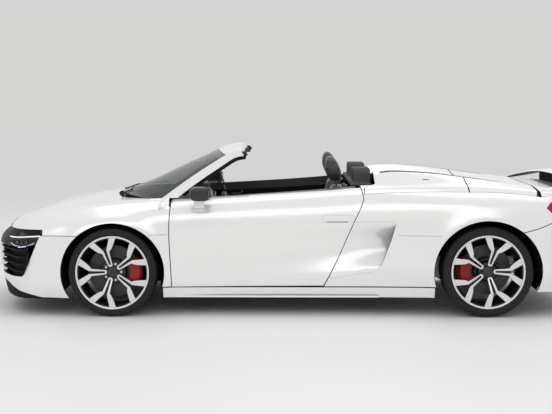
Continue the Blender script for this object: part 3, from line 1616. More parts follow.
@dataclass
class DoorDetail(OnSide):
    """A door's flush handle, lock, inner pull, armrest and speaker."""

    handle_low: tuple[float, float] = (0.203, 0.672)
    handle_high: tuple[float, float] = (0.424, 0.722)

    def build(self) -> None:
        """Makes the door's pieces."""
        self.handle()
        self.inner()
        self.post()

    def post(self) -> None:
        """The bar at the small window's rear edge, and the drop glass's run down the lining."""
        rings = []
        for x, z, half in ((-0.578, 0.836, 0.0075), (-0.590, 0.875, 0.0065), (-0.604, 0.916, 0.0055)):
            rings.append([(x + dx * half, self.side.value * (0.7785 + dy), z)
                          for dx, dy in ((-1, -0.0035), (1, -0.0035), (1, 0.0035), (-1, 0.0035))])
        self.make("window_post", loft(rings), SEAL_GREY, self.door, bevel=0.0015)
        surface = Surface([f"door_trim_{self.side.word}"])
        starts = []
        for t in span(0.0, 1.0, 9):
            x, z = -0.574 + 0.036 * t, 0.822 - 0.105 * t
            starts.append([(x + dx, self.side.value * 0.35, z) for dx in (-0.006, 0.006)])
        run = fitted(surface, starts, (0.0, self.side.value, 0.0), 0.0004, 0.0045)
        self.make("window_guide", run, SEAL_GREY, self.door, bevel=0.001)

    def on_skin(self, surface: Surface, x: float, z: float, lift: float) -> Vector:
        """A point over the door's outer skin."""
        place, normal = surface.side(x, z, self.side)
        return place + normal * lift

    def handle(self) -> None:
        """The flush flap with its shadow gap, and the lock beside it."""
        surface = Surface([self.door])
        (x0, z0), (x1, z1) = self.handle_low, self.handle_high
        radius = 0.018
        path = []
        for cx, cz, start in ((x1 - radius, z1 - radius, 0), (x0 + radius, z1 - radius, 90),
                              (x0 + radius, z0 + radius, 180),
                              (x1 - radius, z0 + radius, 270)):
            for step in range(5):
                a = math.radians(start + 22.5 * step)
                x, z = cx + radius * math.cos(a), cz + radius * math.sin(a)
                path.append(self.on_skin(surface, x, z, 0.0002))
        self.make("handle_gap", tube(path, 0.0008, 6, looped=True), SEAL_GREY, self.door)
        starts = [[(x, self.side.value * 2, z) for z in span(z0 + 0.005, z0 + 0.021, 3)]
                  for x in span(x0 + 0.035, x1 - 0.05, 9)]
        grip = fitted(surface, starts, (0, -self.side.value, 0), 0.0003, 0.0035)
        self.make("handle_grip", grip, PAINT, self.door, bevel=0.001)
        lower = [[(x, self.side.value * 2, z) for z in (z0 + 0.0005, z0 + 0.0045)]
                 for x in span(x0 + 0.030, x1 - 0.045, 9)]
        shade = fitted(surface, lower, (0, -self.side.value, 0), 0.0003, 0.0012)
        self.make("handle_shadow", shade, SATIN_BLACK, self.door)
        lock = lathe([(0.0, -0.001), (0.0065, -0.001), (0.0065, 0.0012), (0.0050, 0.0018), (0.0, 0.0018)],
                     24)
        if self.side is Side.RIGHT:
            lock = lock.mirrored()
        spot = self.on_skin(surface, x0 + 0.022, (z0 + z1) / 2 + 0.003, 0.0)
        self.make("door_lock", lock.moved(lambda p: p + spot), CHROME, self.door)

    def inner(self) -> None:
        """The inside of the door: armrest, bright pull, speaker and a stitched line."""
        name = f"door_trim_{self.side.word}"
        surface = Surface([name])
        way = (0.0, self.side.value, 0.0)
        body = self.door

        def inside(x: float, z: float, lift: float) -> Vector:
            """A point over the lining's face.

            Args:
                x: The place along the car.
                z: The height.
                lift: The height over the face.

            Returns:
                The point.
            """
            found = surface.hit((x, self.side.value * 0.35, z), way)
            place, normal = found if found else (Vector((x, self.side.value * 0.76, z)),
                                                 Vector((0, -self.side.value, 0)))
            return place + normal * lift

        starts = [[(x, self.side.value * 0.35, z) for z in span(0.595, 0.640, 5)]
                  for x in span(-0.45, 0.12, 15)]
        rest = fitted(surface, starts, way, 0.0006, 0.034)
        self.make("armrest", rest, LEATHER, body, bevel=0.012, sharp=60)
        pull = smoothed([inside(-0.52, 0.765, 0.003), inside(-0.50, 0.772, 0.024),
                         inside(-0.44, 0.778, 0.026), inside(-0.42, 0.779, 0.003)], 17)
        self.make("door_pull", tube(pull, 0.0065, 10, flat=0.6), SATIN_METAL, body)
        line = [inside(x, 0.715, 0.0008) for x in span(-0.66, 0.14, 41)]
        self.make("door_seam", tube(line, 0.0018, 6), LEATHER_GREY, body)
        rings = []
        for r, h in ((0.075, 0.0005), (0.075, 0.001), (0.074, 0.005), (0.068, 0.006), (0.064, 0.003),
                     (0.030, 0.0045),
                     (0.004, 0.0055), (0.004, 0.0005), (0.075, 0.0005)):
            rings.append([inside(-0.50 + r * c, 0.48 + r * s, h) for c, s in circle(40)])
        self.make("speaker", loft(rings, True, False), MATT_BLACK, body)


@dataclass
class DeckDetail:
    """Dark slots along the deck's crests, the panel under the wing and the lock slots."""

    split_low: float = 1.229
    split_high: float = 1.247

    def build(self) -> None:
        """Makes the strips on each lid."""
        surface = Surface(["tonneau_cover", "engine_lid", "tail_deck"])
        for side in Side:
            for x0, x1, body in ((0.628, self.split_low, "tonneau_cover"),
                                 (self.split_high, 1.515, "engine_lid")):
                strip = self.strip(surface, x0, x1, side)
                Workshop.piece(f"deck_slot_{body}_{side.word}", strip, SATIN_BLACK, body)
            y = side.value * 0.64
            starts = [[(x, y + dy, 2.0) for dy in (-0.006, 0.006)] for x in span(0.93, 0.975, 5)]
            slot = fitted(surface, starts, (0, 0, -1), 0.0002, 0.0010)
            Workshop.piece(f"lock_slot_{side.word}", slot, SATIN_BLACK, "tonneau_cover")
        self.louvres(surface)

    def strip(self, surface: Surface, x0: float, x1: float, side: Side) -> Form:
        """A strip that lies on the crest's outer slope and narrows at its rear end.

        Args:
            surface: The surface that it follows.
            x0: Its front end.
            x1: Its rear end.
            side: The side of the car.

        Returns:
            The strip.
        """
        starts = []
        for x in span(x0, x1, 31):
            y = 0.494 - 0.035 * (x - 0.6)
            half = 0.021 * min(1.0, (1.53 - x) / 0.24)
            starts.append([(x, side.value * (y + half * share), 2.0) for share in (-1.0, -0.33, 0.33, 1.0)])
        return fitted(surface, starts, (0, 0, -1), 0.0002, 0.0012)

    def louvres(self, surface: Surface) -> None:
        """The black outlet under the wing: a plate with cross bars.

        Args:
            surface: The surface that it follows.
        """
        low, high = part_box("tail_deck")
        x0, x1 = high.x - 0.235, high.x - 0.060
        starts = [[(x, y, 0.935) for x in span(x0 + 0.06 * (abs(y) / 0.66) ** 2, x1, 7)]
                  for y in span(-0.66, 0.66, 41)]
        plate = fitted(surface, starts, (0, 0, -1), 0.0003, 0.0030)
        Workshop.piece("rear_outlet", plate, SATIN_BLACK)
        bars = Form()
        for share in span(0.12, 0.88, 5):
            rows = [[(x0 + (x1 - x0) * share + dx, y, 0.935) for dx in (0.0, 0.008)]
                    for y in span(-0.60, 0.60, 31)]
            bars.join(fitted(surface, rows, (0, 0, -1), 0.0032, 0.0085))
        Workshop.piece("outlet_bars", bars, GLOSS_BLACK, bevel=0.001)


@dataclass
class WheelHouse(OnSide):
    """What closes a wheel's arch beside its liner: skirts down to the sills and, behind, an inner wall."""

    place: str
    axle: tuple[float, float]
    inner_y: float
    outer_y: float
    walled: bool
    radius: float = 0.3724
    wall_foot: float = 0.15
    skirt_deg: tuple[float, float] = (10.0, 21.0)

    def around(self, radius: float, angle: float, y: float) -> Triple:
        """A point at a radius and angle about the axle."""
        x, z = self.axle
        return (x + radius * math.cos(angle), self.side.value * y, z + radius * math.sin(angle))

    def build(self) -> None:
        """Makes the skirts in front of and behind the wheel, and the wall."""
        form = Form()
        for start in (180.0 + self.skirt_deg[0], 360.0 - self.skirt_deg[1]):
            rings = []
            end = start + self.skirt_deg[1] - self.skirt_deg[0]
            for a in span(math.radians(start), math.radians(end), 9):
                corners = ((0.0, self.inner_y), (0.0, self.outer_y), (0.005, self.outer_y),
                           (0.005, self.inner_y))
                rings.append([self.around(self.radius + deep, a, y) for deep, y in corners])
            form.join(loft(rings))
        if self.walled:
            start = math.asin(self.wall_foot / self.radius)
            turns = span(start, math.pi - start, 33)
            outline = [self.around(self.radius - 0.001, a, self.inner_y + 0.0015) for a in turns]
            form.join(prism(outline, (0.0, self.side.value * 0.004, 0.0)))
        self.make(f"wheelhouse_{self.place}", form, LINER)


@dataclass
class PillarRoot(OnSide):
    """The painted skin that carries each front pillar's foot into the wing's top."""

    rows: int = 33
    columns: int = 31
    reach: int = 3
    blurs: int = 3

    def levelled(self, depths: list[list[float]]) -> list[list[float]]:
        """Fills the narrow gaps of a depth grid and softens its steps.

        Args:
            depths: How far each ray ran before it met the metal.

        Returns:
            Depths that are nowhere greater than those given.
        """
        grid = depths
        for pick in (min, max):
            grid = self.pooled(grid, self.reach, pick)
        for _ in range(self.blurs):
            means = self.pooled(grid, 1, lambda near: sum(near) / len(near))
            grid = [[min(pair) for pair in zip(*rows)] for rows in zip(depths, means)]
        return grid

    def pooled(self, grid: list[list[float]], reach: int,
               pick: Callable[[list[float]], float]) -> list[list[float]]:
        """A grid in which each value is picked from those near it.

        Args:
            grid: The values.
            reach: How many steps near means.
            pick: What picks from them.

        Returns:
            The new grid.
        """
        out = []
        for row in range(self.rows):
            rows = grid[max(0, row - reach):row + reach + 1]
            out.append([pick([value for line in rows
                              for value in line[max(0, column - reach):column + reach + 1]])
                        for column in range(self.columns)])
        return out

    def build(self) -> None:
        """Lays one smooth skin over the pillar's foot and the fender round it."""
        surface = Surface(["front_fenders", "windscreen_frame"])
        way = Vector((0.0, -self.side.value, -1.0)).normalized()
        starts, depths = [], []
        for x in span(-1.022, -0.8865, self.rows):
            across = span(-0.055, 0.112, self.columns)
            starts.append([Vector((x, self.side.value * (1.8 + 0.5 * q), 1.8 - 0.5 * q)) for q in across])
            found = [surface.hit(start, way) for start in starts[-1]]
            depths.append([(hit[0] - start).dot(way) if hit else 9.0 for hit,
                           start in zip(found, starts[-1])])
        level = self.levelled(depths)
        skins = []
        for lift in (0.0016, -0.003):
            skins.append([[start + way * (depth - lift) for start, depth in zip(*pair)]
                          for pair in zip(starts, level)])
        self.make("pillar_root", patch(*skins), PAINT, sharp=60)


@dataclass
class PanelSeams:
    """Fine dark seams drawn on the side where two panels meet without a step."""

    width: float = 0.0032
    runs: tuple[tuple[str, Triple, Triple], ...] = (
        ("front_fenders", (-1.060, 0.580, 0.0), (-0.882, 0.584, 0.0)),
        ("rear_quarters", (0.735, 0.580, 0.0), (1.035, 0.578, 0.0)),
    )

    def build(self) -> None:
        """Lays each seam on its panel, on both sides."""
        for node, start, end in self.runs:
            surface = Surface([node])
            for side in Side:
                rows = []
                for t in span(0.0, 1.0, 13):
                    x, z = start[0] + (end[0] - start[0]) * t, start[1] + (end[1] - start[1]) * t
                    if surface.hit((x, side.value * 2.0, z), (0.0, -side.value, 0.0)):
                        edges = (z - self.width / 2, z + self.width / 2)
                        rows.append([(x, side.value * 2.0, edge) for edge in edges])
                seam = fitted(surface, rows, (0, -side.value, 0), 0.0001, 0.0005)
                Workshop.piece(f"seam_{node}_{side.word}", seam, SEAL_GREY)


@dataclass
class DoorMirror(OnSide):
    """A door mirror: a glossy rounded cap with its silvered glass, on a foot in the body colour."""

    centre: tuple[float, float] = (-0.6605, 0.8745)
    half: tuple[float, float] = (0.0712, 0.0545)
    rear_x: float = -0.5985

    def build(self) -> None:
        """Makes the cap, the glass and the foot in the node's place."""
        name = f"door_mirror_{self.side.word}"
        body = self.door
        stations = ((0.866, 0.74), (0.872, 0.88), (0.886, 0.96), (0.915, 1.0), (0.965, 1.0), (0.992, 0.95),
                    (1.004, 0.87),
                    (1.0100, 0.74), (1.0113, 0.60))
        rings = [self.ring(y, grow) for y, grow in stations]
        self.make("mirror_cap", loft(rings), GLOSS_BLACK, body, sharp=50, stands_for=[name])
        glass = [Vector((self.rear_x + 0.0004, self.side.value * y, z)) for y,
                 z in self.outline(0.938, 0.874, 0.052, 0.038)]
        self.make("mirror_glass", prism(glass, (0.0016, 0.0, 0.0)), MIRROR_SILVER, body)
        rim = [(0.0, 1.10, 0.0002), (0.0, 1.10, 0.0030), (0.0, 1.02, 0.0030), (0.0, 1.02, 0.0002)]
        rows = []
        for _, grow, lift in rim + rim[:1]:
            edge = self.outline(0.938, 0.874, 0.052 * grow, 0.038 * grow)
            rows.append([Vector((self.rear_x + lift, self.side.value * y, z)) for y, z in edge])
        self.make("mirror_rim", loft(rows, True, False), SATIN_BLACK, body)
        foot = node_form(name, lambda centre, normal: centre.z < 0.832 and abs(centre.y) < 0.955)
        self.make("mirror_foot", foot, PAINT, body, sharp=45)

    def outline(self, across: float, up: float, wide: float, high: float) -> list[tuple[float, float]]:
        """A rounded rectangle of (|y|, z) points about a centre.

        Args:
            across: The centre's distance from the car's middle.
            up: The centre's height.
            wide: Half its width.
            high: Half its height.

        Returns:
            The outline's points.
        """
        points = []
        for c, s in circle(40):
            points.append((across + wide * math.copysign(abs(c) ** 0.45, c),
                           up + high * math.copysign(abs(s) ** 0.45, s)))
        return points

    def ring(self, y: float, grow: float) -> list[tuple[float, float, float]]:
        """The cap's section at a distance from the car's middle: rounded in front, flat behind.

        Args:
            y: The distance from the car's middle.
            grow: The share of its full size.

        Returns:
            The section's points.
        """
        points = []
        for c, s in circle(48):
            x = self.centre[0] + self.half[0] * grow * math.copysign(abs(c) ** 0.55, c)
            crown = 0.010 * (1 - c) / 2 * (1 if s > 0 else -0.6)
            z = self.centre[1] + self.half[1] * grow * math.copysign(abs(s) ** 0.55, s) - crown
            points.append((min(x, self.rear_x), self.side.value * y, z))
        return points


class Padding:
    """Swells a closed form like a stuffed cushion."""

    FRAMES = 20

    @classmethod
    def swell(cls, name: str, form: Form, voxel: float, cap: float, pressure: float = 4.0) -> Form:
        """Remeshes a form evenly, blows it up a little as cloth and rounds it.

        Args:
            name: The pad's name.
            form: Its starting shape, a little too small.
            voxel: The size of the even mesh's faces.
            cap: How far a point may move.
            pressure: How hard it is blown up.

        Returns:
            The swollen shape.
        """
        maker = Workshop.stand(name, form.mesh(name))
        even = maker.modifiers.new("even", "REMESH")
        even.mode = "VOXEL"
        even.voxel_size = voxel
        soft = maker.modifiers.new("soft", "SMOOTH")
        soft.iterations = 6
        soft.factor = 0.5
        start = Workshop.cast(name, maker)
        start = cls.blow(name, start, cap, pressure)
        maker = Workshop.stand(name, start.mesh(name))
        round_off = maker.modifiers.new("round", "SUBSURF")
        round_off.levels = 1
        round_off.render_levels = 1
        return Workshop.cast(name, maker)

    @classmethod
    def blow(cls, name: str, start: Form, cap: float, pressure: float) -> Form:
        """Runs the cloth for a few frames and keeps each point near its start.

        Args:
            name: Its name.
            start: The even mesh.
            cap: How far a point may move.
            pressure: How hard it is blown up.

        Returns:
            The swollen form.
        """
        maker = Workshop.stand(name, start.mesh(name))
        cloth = maker.modifiers.new("cloth", "CLOTH")
        cloth.settings.use_pressure = True
        cloth.settings.uniform_pressure_force = pressure
        cloth.settings.effector_weights.gravity = 0.0
        cloth.settings.quality = 4
        cloth.point_cache.frame_start = 1
        cloth.point_cache.frame_end = cls.FRAMES
        scene = bpy.context.scene
        for number in range(1, cls.FRAMES + 1):
            scene.frame_set(number)
        blown = Workshop.cast(name, maker)
        scene.frame_set(1)
        for i, (old, new) in enumerate(zip(start.points, blown.points)):
            step = new - old
            blown.points[i] = old + step * min(1.0, cap / max(step.length, 1e-9))
        return blown


@dataclass
class Seats:
    """Both sports seats: stuffed leather pads on a hard shell, with piping along the panels."""

    offset: float = 0.365
    centre_half: float = 0.135
    voxel: float = 0.008

    def build(self) -> None:
        """Makes the left seat's pieces and mirrors them."""
        soft = {"seat_cushion": self.cushion(), "seat_back": self.back(), "head_pad": self.head()}
        swollen = {name: Padding.swell(name, form, self.voxel, cap) for (name, form),
                   cap in zip(soft.items(), (0.012, 0.012, 0.008))}
        hard = {"seat_shell": (self.shell(), SATIN_BLACK), "seat_base": (self.base(), SATIN_BLACK)}
        for side in Side:
            for name, form in swollen.items():
                Workshop.piece(f"{name}_{side.word}", self.to(form, side), LEATHER, sharp=80)
            for name, (form, finish) in hard.items():
                Workshop.piece(f"{name}_{side.word}", self.to(form, side), finish, bevel=0.006)
            piping = self.piping(*swollen.values())
            Workshop.piece(f"seat_piping_{side.word}", self.to(piping, side), LEATHER_GREY)
        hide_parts("seats")

    def to(self, form: Form, side: Side) -> Form:
        """Puts a form made about Y = 0 at a seat's place."""
        return form.moved(lambda p: (p.x, p.y + side.value * self.offset, p.z))

    def cushion(self) -> Form:
        """The seat: a thick pad with raised sides and a rounded front.

        Returns:
            The pad before it is swollen.
        """
        pad = block((-0.285, -0.222, 0.295), (0.205, 0.222, 0.375), cuts=16)

        def bend(p: Vector) -> Triple:
            """Raises the sides, dips the middle and rounds the front.

            Args:
                p: The point.

            Returns:
                Its new place.
            """
            top = (p.z - 0.295) / 0.08
            front = max(0.0, (-0.17 - p.x) / 0.115)
            wall = min(1.0, max(0.0, (abs(p.y) - 0.13) / 0.07))
            rise = 0.030 * wall * wall * (3 - 2 * wall) * (1 - 0.5 * front)
            dip = 0.016 * (1 - (p.x + 0.04) ** 2 / 0.06) if abs(p.y) < 0.16 else 0.0
            return (p.x, p.y * (1 - 0.06 * front), p.z + top * (rise - max(0.0, dip) - 0.030 * front ** 2))

        return pad.moved(bend)

    def lean(self, z: float) -> float:
        """The back's front surface at a height."""
        return 0.178 + (z - 0.345) * 0.205

    def back(self) -> Form:
        """The backrest: tapering upwards, with side bolsters that reach forwards.

        Returns:
            The pad before it is swollen.
        """
        pad = block((0.0, -0.222, 0.385), (0.075, 0.222, 0.905), cuts=18)

        def bend(p: Vector) -> Triple:
            """Leans the slab back, narrows its top and draws its sides forwards.

            Args:
                p: The point.

            Returns:
                Its new place.
            """
            share = (p.z - 0.385) / 0.52
            narrow = 1 - 0.30 * max(0.0, share - 0.55) ** 1.3 / 0.45 ** 1.3 - 0.03 * share
            fore = 1 - p.x / 0.075
            wall = min(1.0, max(0.0, (abs(p.y) - 0.125) / 0.075))
            fade = min(1.0, max(0.0, (0.82 - share) / 0.3))
            reach = 0.048 * wall * wall * (3 - 2 * wall) * fade
            crown = 0.010 * math.cos(p.y / 0.222 * 1.2) - 0.012 * math.exp(-((share - 0.25) / 0.2) ** 2)
            return (self.lean(p.z) + p.x - fore * (reach + crown), p.y * narrow, p.z)

        return pad.moved(bend)

    def head(self) -> Form:
        """The head restraint: a full rounded pad that leans forwards.

        Returns:
            The pad before it is swollen.
        """
        pad = block((-1.0, -1.0, 0.0), (1.0, 1.0, 1.0), cuts=12)
        levels = (0.0, 0.2, 0.58, 0.86, 1.0)

        shapes = ((0.038, 0.052, 0.052, 0.038, 0.018), (0.096, 0.122, 0.122, 0.096, 0.056),
                  (0.306, 0.296, 0.282, 0.272, 0.268))

        def bend(p: Vector) -> Triple:
            """Gives the block its depth, width and place at each height."""
            deep, wide, middle = (float(np.interp(p.z, levels, shape)) for shape in shapes)
            return (middle + p.x * deep * (1 - 0.12 * p.y ** 2), p.y * wide, 0.936 + 0.176 * p.z)

        return pad.moved(bend)

    def shell(self) -> Form:
        """The hard rear of the back, a curved panel.

        Returns:
            The panel.
        """
        outer, inner = [], []
        for z in span(0.36, 0.90, 15):
            share = (z - 0.36) / 0.54
            half = 0.232 * (1 - 0.28 * max(0.0, share - 0.5) ** 1.4 / 0.5 ** 1.4)
            rows = [(self.lean(z) + 0.108 - 0.022 * (abs(y) / half) ** 3, y) for y in span(-half, half, 13)]
            outer.append([Vector((x, y, z)) for x, y in rows])
            inner.append([Vector((x - 0.020, y, z)) for x, y in rows])
        return patch(outer, inner)

    def base(self) -> Form:
        """The frame under the cushion, on two rails.

        Returns:
            The frame.
        """
        form = block((-0.25, -0.205, 0.205), (0.225, 0.205, 0.285), cuts=2)
        for y in (-0.19, 0.16):
            form.join(block((-0.26, y, 0.166), (0.25, y + 0.03, 0.2), cuts=2))
        return form

    def piping(self, cushion: Form, back: Form, head: Form) -> Form:
        """Seams laid on the swollen pads: two along each panel and three across.

        Args:
            cushion: The seat pad.
            back: The backrest.
            head: The head restraint.

        Returns:
            The seams.
        """
        seat = BVHTree.FromPolygons(cushion.points, cushion.faces)
        rest = BVHTree.FromPolygons(back.points, back.faces)
        pillow = BVHTree.FromPolygons(head.points, head.faces)
        form = Form()

        def lay(tree: BVHTree, starts: Sequence[Vector], way: Vector, radius: float) -> None:
            """Lays one seam where the rays meet a pad.

            Args:
                tree: The pad's faces.
                starts: Where the rays start.
                way: The direction of the ray.
                radius: The seam's radius.
            """
            hits = [tree.ray_cast(start, way) for start in starts]
            path = [place + normal * 0.0006 for place, normal, _, _ in hits if place is not None]
            if len(path) > 3:
                form.join(tube(path, radius, 6))

        down, aft = Vector((0, 0, -1)), Vector((1, 0, 0))
        for sign in (-1, 1):
            lay(seat, [Vector((x, sign * self.centre_half, 0.6)) for x in span(-0.27, 0.17, 41)], down,
                0.0024)
            lay(rest, [Vector((-0.2, sign * self.centre_half * (1 - 0.2 * max(0, z - 0.7) / 0.2), z))
                       for z in span(0.41, 0.88, 41)], aft, 0.0024)
        for x in (-0.17, -0.07, 0.03, 0.12):
            lay(seat, [Vector((x, y, 0.6)) for y in span(-self.centre_half, self.centre_half, 25)], down,
                0.0016)
        for z in (0.47, 0.56, 0.65, 0.74):
            lay(rest, [Vector((-0.2, y, z)) for y in span(-self.centre_half, self.centre_half, 25)], aft,
                0.0016)
        for sign in (-1, 1):
            lay(pillow, [Vector((-0.2, sign * (0.078 - 0.25 * (z - 1.02) ** 2 / 0.1), z))
                         for z in span(0.955, 1.09, 25)], aft, 0.0016)
        for y in (-0.04, 0.04):
            form.join(tube([Vector((0.318, y, 0.885)), Vector((0.308, y, 0.95))], 0.006, 12))
        return form


@dataclass
class Cockpit:
    """What is on the dashboard and the console."""

    wheel_centre: Triple = (-0.455, -0.365, 0.668)
    tilt_deg: float = 68.0
    ring_radius: float = 0.178

    def build(self) -> None:
        """Makes the steering wheel, dials, vents, screen, lever and pedals."""
        self.dash = Surface(["dashboard"])
        for step in (self.steering, self.dials, self.vents, self.screen, self.console, self.pedals):
            step()

    def steering(self) -> None:
        """A leather ring with a flattened bottom, three spokes and a blank centre pad."""
        a = math.radians(self.tilt_deg)
        turn = Matrix(((0, -math.cos(a), math.sin(a), self.wheel_centre[0]),
                       (1, 0, 0, self.wheel_centre[1]),
                       (0, math.sin(a), math.cos(a), self.wheel_centre[2]), (0, 0, 0, 1)))
        path = []
        for k in range(72):
            t = 2 * math.pi * k / 72
            x, y = self.ring_radius * math.cos(t), self.ring_radius * math.sin(t)
            path.append(Vector((x, max(y, -0.152), 0.0)))
        ring = tube(path, 0.0162, 14, looped=True).placed(turn)
        Workshop.piece("wheel_ring", ring, LEATHER, "steering_wheel", sharp=70,
                       stands_for=["steering_wheel"])
        spokes = Form()
        for points in (((-0.165, 0.012), (-0.165, -0.020), (-0.045, -0.030), (-0.045, 0.020)),
                       ((0.165, -0.020), (0.165, 0.012), (0.045, 0.020), (0.045, -0.030)),
                       ((-0.024, -0.148), (0.024, -0.148), (0.034, -0.040), (-0.034, -0.040))):
            spokes.join(prism([(x, y, -0.010) for x, y in points], (0, 0, 0.012)))
        Workshop.piece("wheel_spokes", spokes.placed(turn), SATIN_METAL, "steering_wheel", bevel=0.003)
        turns = span(0, 2 * math.pi, 41)[:-1]
        outline = [(0.062 * math.cos(t) * (1 + 0.10 * math.cos(2 * t)), 0.054 * math.sin(t)) for t in turns]
        layers = ((0.85, -0.030), (1.0, -0.018), (1.0, 0.004), (0.88, 0.016), (0.5, 0.023))
        rings = [[(x * share, y * share, z) for x, y in outline] for share, z in layers]
        Workshop.piece("wheel_pad", loft(rings).placed(turn), SATIN_BLACK, "steering_wheel", sharp=60)
        stub = [[(0.030 * c, 0.030 * s, z) for c, s in circle(24)] for z in (-0.030, -0.012)]
        Workshop.piece("wheel_hub", loft(stub).placed(turn), SATIN_BLACK, "steering_wheel")

    def facing(self, y: float, z: float, lift: float) -> Vector:
        """A point on the dashboard's rear face."""
        found = self.dash.hit((0.2, y, z), (-1, 0, 0))
        return (found[0] if found else Vector((-0.65, y, z))) + Vector((lift, 0, 0))

    def disc(self, y: float, z: float, profile: Sequence[tuple[float, float]], steps: int = 40) -> Form:
        """A turned part that faces the cabin, from (radius, out) points.

        Args:
            y: The place across the car.
            z: The height.
            profile: Its section, as (radius, distance) points.
            steps: How many steps go round.

        Returns:
            The turned part.
        """
        spot = self.facing(y, z, 0.0)
        rings = []
        for r, out in profile:
            rings.append([(spot.x + out, y + r * c, z + r * s) for c, s in circle(steps)])
        return loft(rings)

    def dials(self) -> None:
        """Two round instruments with bright rims, a needle and tick marks each."""
        tick = ((0.036, -0.0007), (0.042, -0.0007), (0.042, 0.0007), (0.036, 0.0007))
        z = 0.765
        for k, y in enumerate((-0.435, -0.295)):
            rim = self.disc(y, z,
                            ((0.052, 0.0005), (0.052, 0.010), (0.048, 0.012), (0.047, 0.004),
                             (0.046, 0.0035)))
            Workshop.piece(f"dial_{k}", rim, SATIN_BLACK)
            face = self.disc(y, z, ((0.0455, 0.0040), (0.0455, 0.0048)))
            Workshop.piece(f"dial_face_{k}", face, DIAL_FACE)
            spot = self.facing(y, z, 0.0058)
            ticks = Form()
            for t in range(11):
                a = math.radians(225 - 27 * t)
                c, s = math.cos(a), math.sin(a)
                corners = [(spot.x, y + c * r - s * w, z + s * r + c * w) for r, w in tick]
                ticks.join(prism(corners, (0.0006, 0, 0)))
            needle = [(spot.x + 0.001, y + dy, z + dz) for dy,
                      dz in ((-0.001, 0), (0.001, 0), (-0.024, 0.024))]
            ticks.join(prism(needle, (0.0006, 0, 0)))
            Workshop.piece(f"dial_ticks_{k}", ticks, LAMP_WHITE)

    def vents(self) -> None:
        """Round air outlets with bright rims and vanes."""
        for k, (y, z) in enumerate(((-0.620, 0.735), (-0.130, 0.745), (0.130, 0.745), (0.620, 0.735))):
            rim = self.disc(y, z,
                            ((0.040, 0.0005), (0.040, 0.008), (0.036, 0.010), (0.033, 0.008),
                             (0.033, 0.002)))
            Workshop.piece(f"vent_rim_{k}", rim, SATIN_METAL)
            spot = self.facing(y, z, 0.0)
            vanes = Form()
            for dz in (-0.018, -0.006, 0.006, 0.018):
                half = math.sqrt(0.031 ** 2 - dz ** 2)
                vanes.join(block((spot.x + 0.0025, y - half, z + dz - 0.0016),
                                 (spot.x + 0.0070, y + half, z + dz + 0.0016)))
            Workshop.piece(f"vent_vanes_{k}", vanes, SATIN_BLACK, bevel=0.0006)

    def screen(self) -> None:
        """A blank display, a strip of carbon and two rows of plain keys."""
        for name, finish, z_run, y_run, high, bevel in (
            ("display", GLOSS_BLACK, span(0.705, 0.775, 5), span(-0.075, 0.075, 9), 0.005, 0.002),
            ("dash_strip", CARBON, span(0.668, 0.694, 4), span(0.19, 0.66, 25), 0.004, 0.0015),
        ):
            rows = [[(0.2, y, z) for z in z_run] for y in y_run]
            Workshop.piece(name, fitted(self.dash, rows, (-1, 0, 0), 0.0004, high), finish, bevel=bevel)
        keys = Form()
        for row, z in enumerate((0.655, 0.630)):
            for k in range(6):
                y = -0.0775 + 0.031 * k
                spot = self.facing(y, z, 0.0)
                low, high = (spot.x + 0.0004, y - 0.0135, z - 0.010), (spot.x + 0.005, y + 0.0135, z + 0.010)
                keys.join(block(low, high))
        Workshop.piece("dash_keys", keys, SATIN_BLACK, bevel=0.0015)

    def console(self) -> None:
        """The gear lever in its gate, a key row and the armrest."""
        self.laid("gear_gate", SATIN_METAL, span(-0.36, -0.20, 9), span(-0.055, 0.055, 5), (0.0004, 0.004),
                  bevel=0.0015)
        found = self.dash.hit((-0.28, 0.0, 0.66), (0, 0, -1))
        foot = (found[0] if found else Vector((-0.28, 0.0, 0.5))) + Vector((0, 0, 0.004))
        rod = [foot, foot + Vector((0.004, 0, 0.03)), foot + Vector((0.010, 0, 0.075))]
        Workshop.piece("gear_lever", tube(smoothed(rod, 9), lambda t: 0.016 - 0.010 * t, 14), CHROME)
        top = foot + Vector((0.013, 0, 0.090))
        rings = []
        for share in span(0.06, 0.94, 11):
            r, h = 0.021 * math.sin(math.pi * share) ** 0.8, 0.024 * -math.cos(math.pi * share)
            rings.append([(top.x + r * c, top.y + r * s, top.z + h) for c, s in circle(24)])
        Workshop.piece("gear_knob", loft(rings), LEATHER, sharp=70)
        self.laid("console_rest", LEATHER, span(-0.02, 0.21, 11), span(-0.070, 0.070, 7), (0.0006, 0.022),
                  bevel=0.009, sharp=60)
        self.laid("console_tray", CARBON, span(-0.175, -0.06, 7), span(-0.045, 0.045, 5), (0.0004, 0.0035),
                  bevel=0.001)

    def laid(self, name: str, finish: Finish, x_run: list[float], y_run: list[float],
             heights: tuple[float, float],
             **options: float) -> None:
        """Lays one plate on top of the console."""
        rows = [[(x, y, 0.64) for y in y_run] for x in x_run]
        Workshop.piece(name, fitted(self.dash, rows, (0, 0, -1), *heights), finish, **options)

    def pedals(self) -> None:
        """Three metal pads on their arms."""
        tub = Surface(["floor_tub"])
        for k, (y, width) in enumerate(((-0.27, 0.045), (-0.36, 0.06), (-0.45, 0.06))):
            found = tub.hit((-0.4, y, 0.33), (-1, 0, 0))
            wall = found[0].x if found else -0.93
            x = wall + 0.085
            left, right = y - width / 2, y + width / 2
            face = [(x, left, 0.29), (x, right, 0.29), (x - 0.03, right, 0.37), (x - 0.03, left, 0.37)]
            pad = prism(face, (-0.008, 0, -0.003))
            Workshop.piece(f"pedal_{k}", pad, SATIN_METAL, bevel=0.002)
            arm = tube([Vector((x - 0.020, y, 0.335)), Vector((x - 0.050, y, 0.37)),
                        Vector((wall + 0.001, y, 0.40))], 0.007, 8)
            Workshop.piece(f"pedal_arm_{k}", arm, CHASSIS_STEEL)


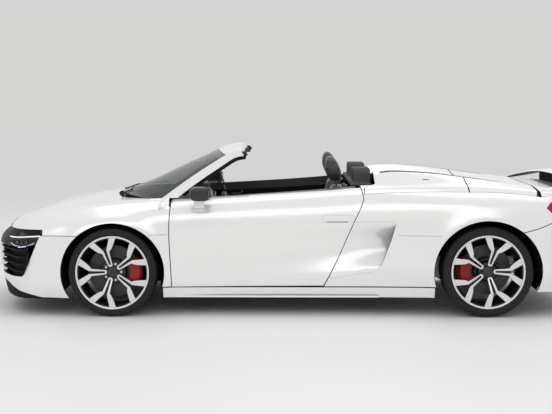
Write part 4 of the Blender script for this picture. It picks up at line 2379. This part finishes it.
@dataclass
class TailDetail:
    """Light bars in the tail lamps and dark bores in the exhaust tips."""

    def build(self) -> None:
        """Makes the bars and bores."""
        lamp = Surface(["tail_lamps"])
        for side in Side:
            form = Form()
            for z in (0.752, 0.772, 0.792):
                rows = [[(3.0, side.value * y, z + dz) for dz in (-0.004, 0.004)]
                        for y in span(0.45, 0.74, 15)]
                form.join(fitted(lamp, rows, (-1, 0, 0), 0.0003, 0.0016))
            Workshop.piece(f"tail_light_bars_{side.word}", form, TAIL_LIGHT)
            self.bore(side)

    def bore(self, side: Side) -> None:
        """The dark mouth of one exhaust tip.

        Args:
            side: The side of the car.
        """
        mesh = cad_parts["exhaust_tips"].data
        mine = [v.co for v in mesh.vertices if v.co.y * side.value > 0]
        rear = max(p.x for p in mine)
        end = [p for p in mine if p.x > rear - 0.004]
        y0, y1 = min(p.y for p in end), max(p.y for p in end)
        z0, z1 = min(p.z for p in end), max(p.z for p in end)
        cy, cz, ry, rz = (y0 + y1) / 2, (z0 + z1) / 2, (y1 - y0) / 2, (z1 - z0) / 2
        found = Surface(["exhaust_tips"]).hit((rear + 0.2, cy, cz), (-1, 0, 0))
        depth = found[0].x if found else rear - 0.12
        rings = []
        for share, x in ((0.86, depth + 0.0006), (0.86, depth + 0.004), (0.30, depth + 0.004)):
            rings.append([(x, cy + ry * share * c, cz + rz * share * s) for c, s in circle(32)])
        Workshop.piece(f"exhaust_bore_{side.word}", loft(rings), MATT_BLACK)


def main() -> None:
    """Builds the studio and the car, sub-assembly by sub-assembly."""
    logging.basicConfig(level=logging.INFO, format="%(message)s")
    bpy.context.scene.view_settings.view_transform = "Standard"
    Studio().build()
    Paintwork().build()
    for side in Side:
        Wheel(side, "front", -1.283, 1.638, 0.314, 0.235, 180.0).build()
        Wheel(side, "rear", 1.367, 1.592, 0.322, 0.295, 0.0).build()
        Headlamp(side).build()
        DoorDetail(side).build()
        DoorMirror(side).build()
        PillarRoot(side).build()
        WheelHouse(side, "front", (-1.283, 0.314), 0.5005, 0.864, False).build()
        WheelHouse(side, "rear", (1.367, 0.322), 0.5600, 0.870, True).build()
    for group in (SmoothPanels(), PanelSeams(), Grille(), WindscreenDetail(), DeckDetail(), Seats(),
                  Cockpit(), TailDetail()):
        group.build()
    LOG.info("%d pieces made", Workshop.made)


if __name__ == "__main__":
    main()
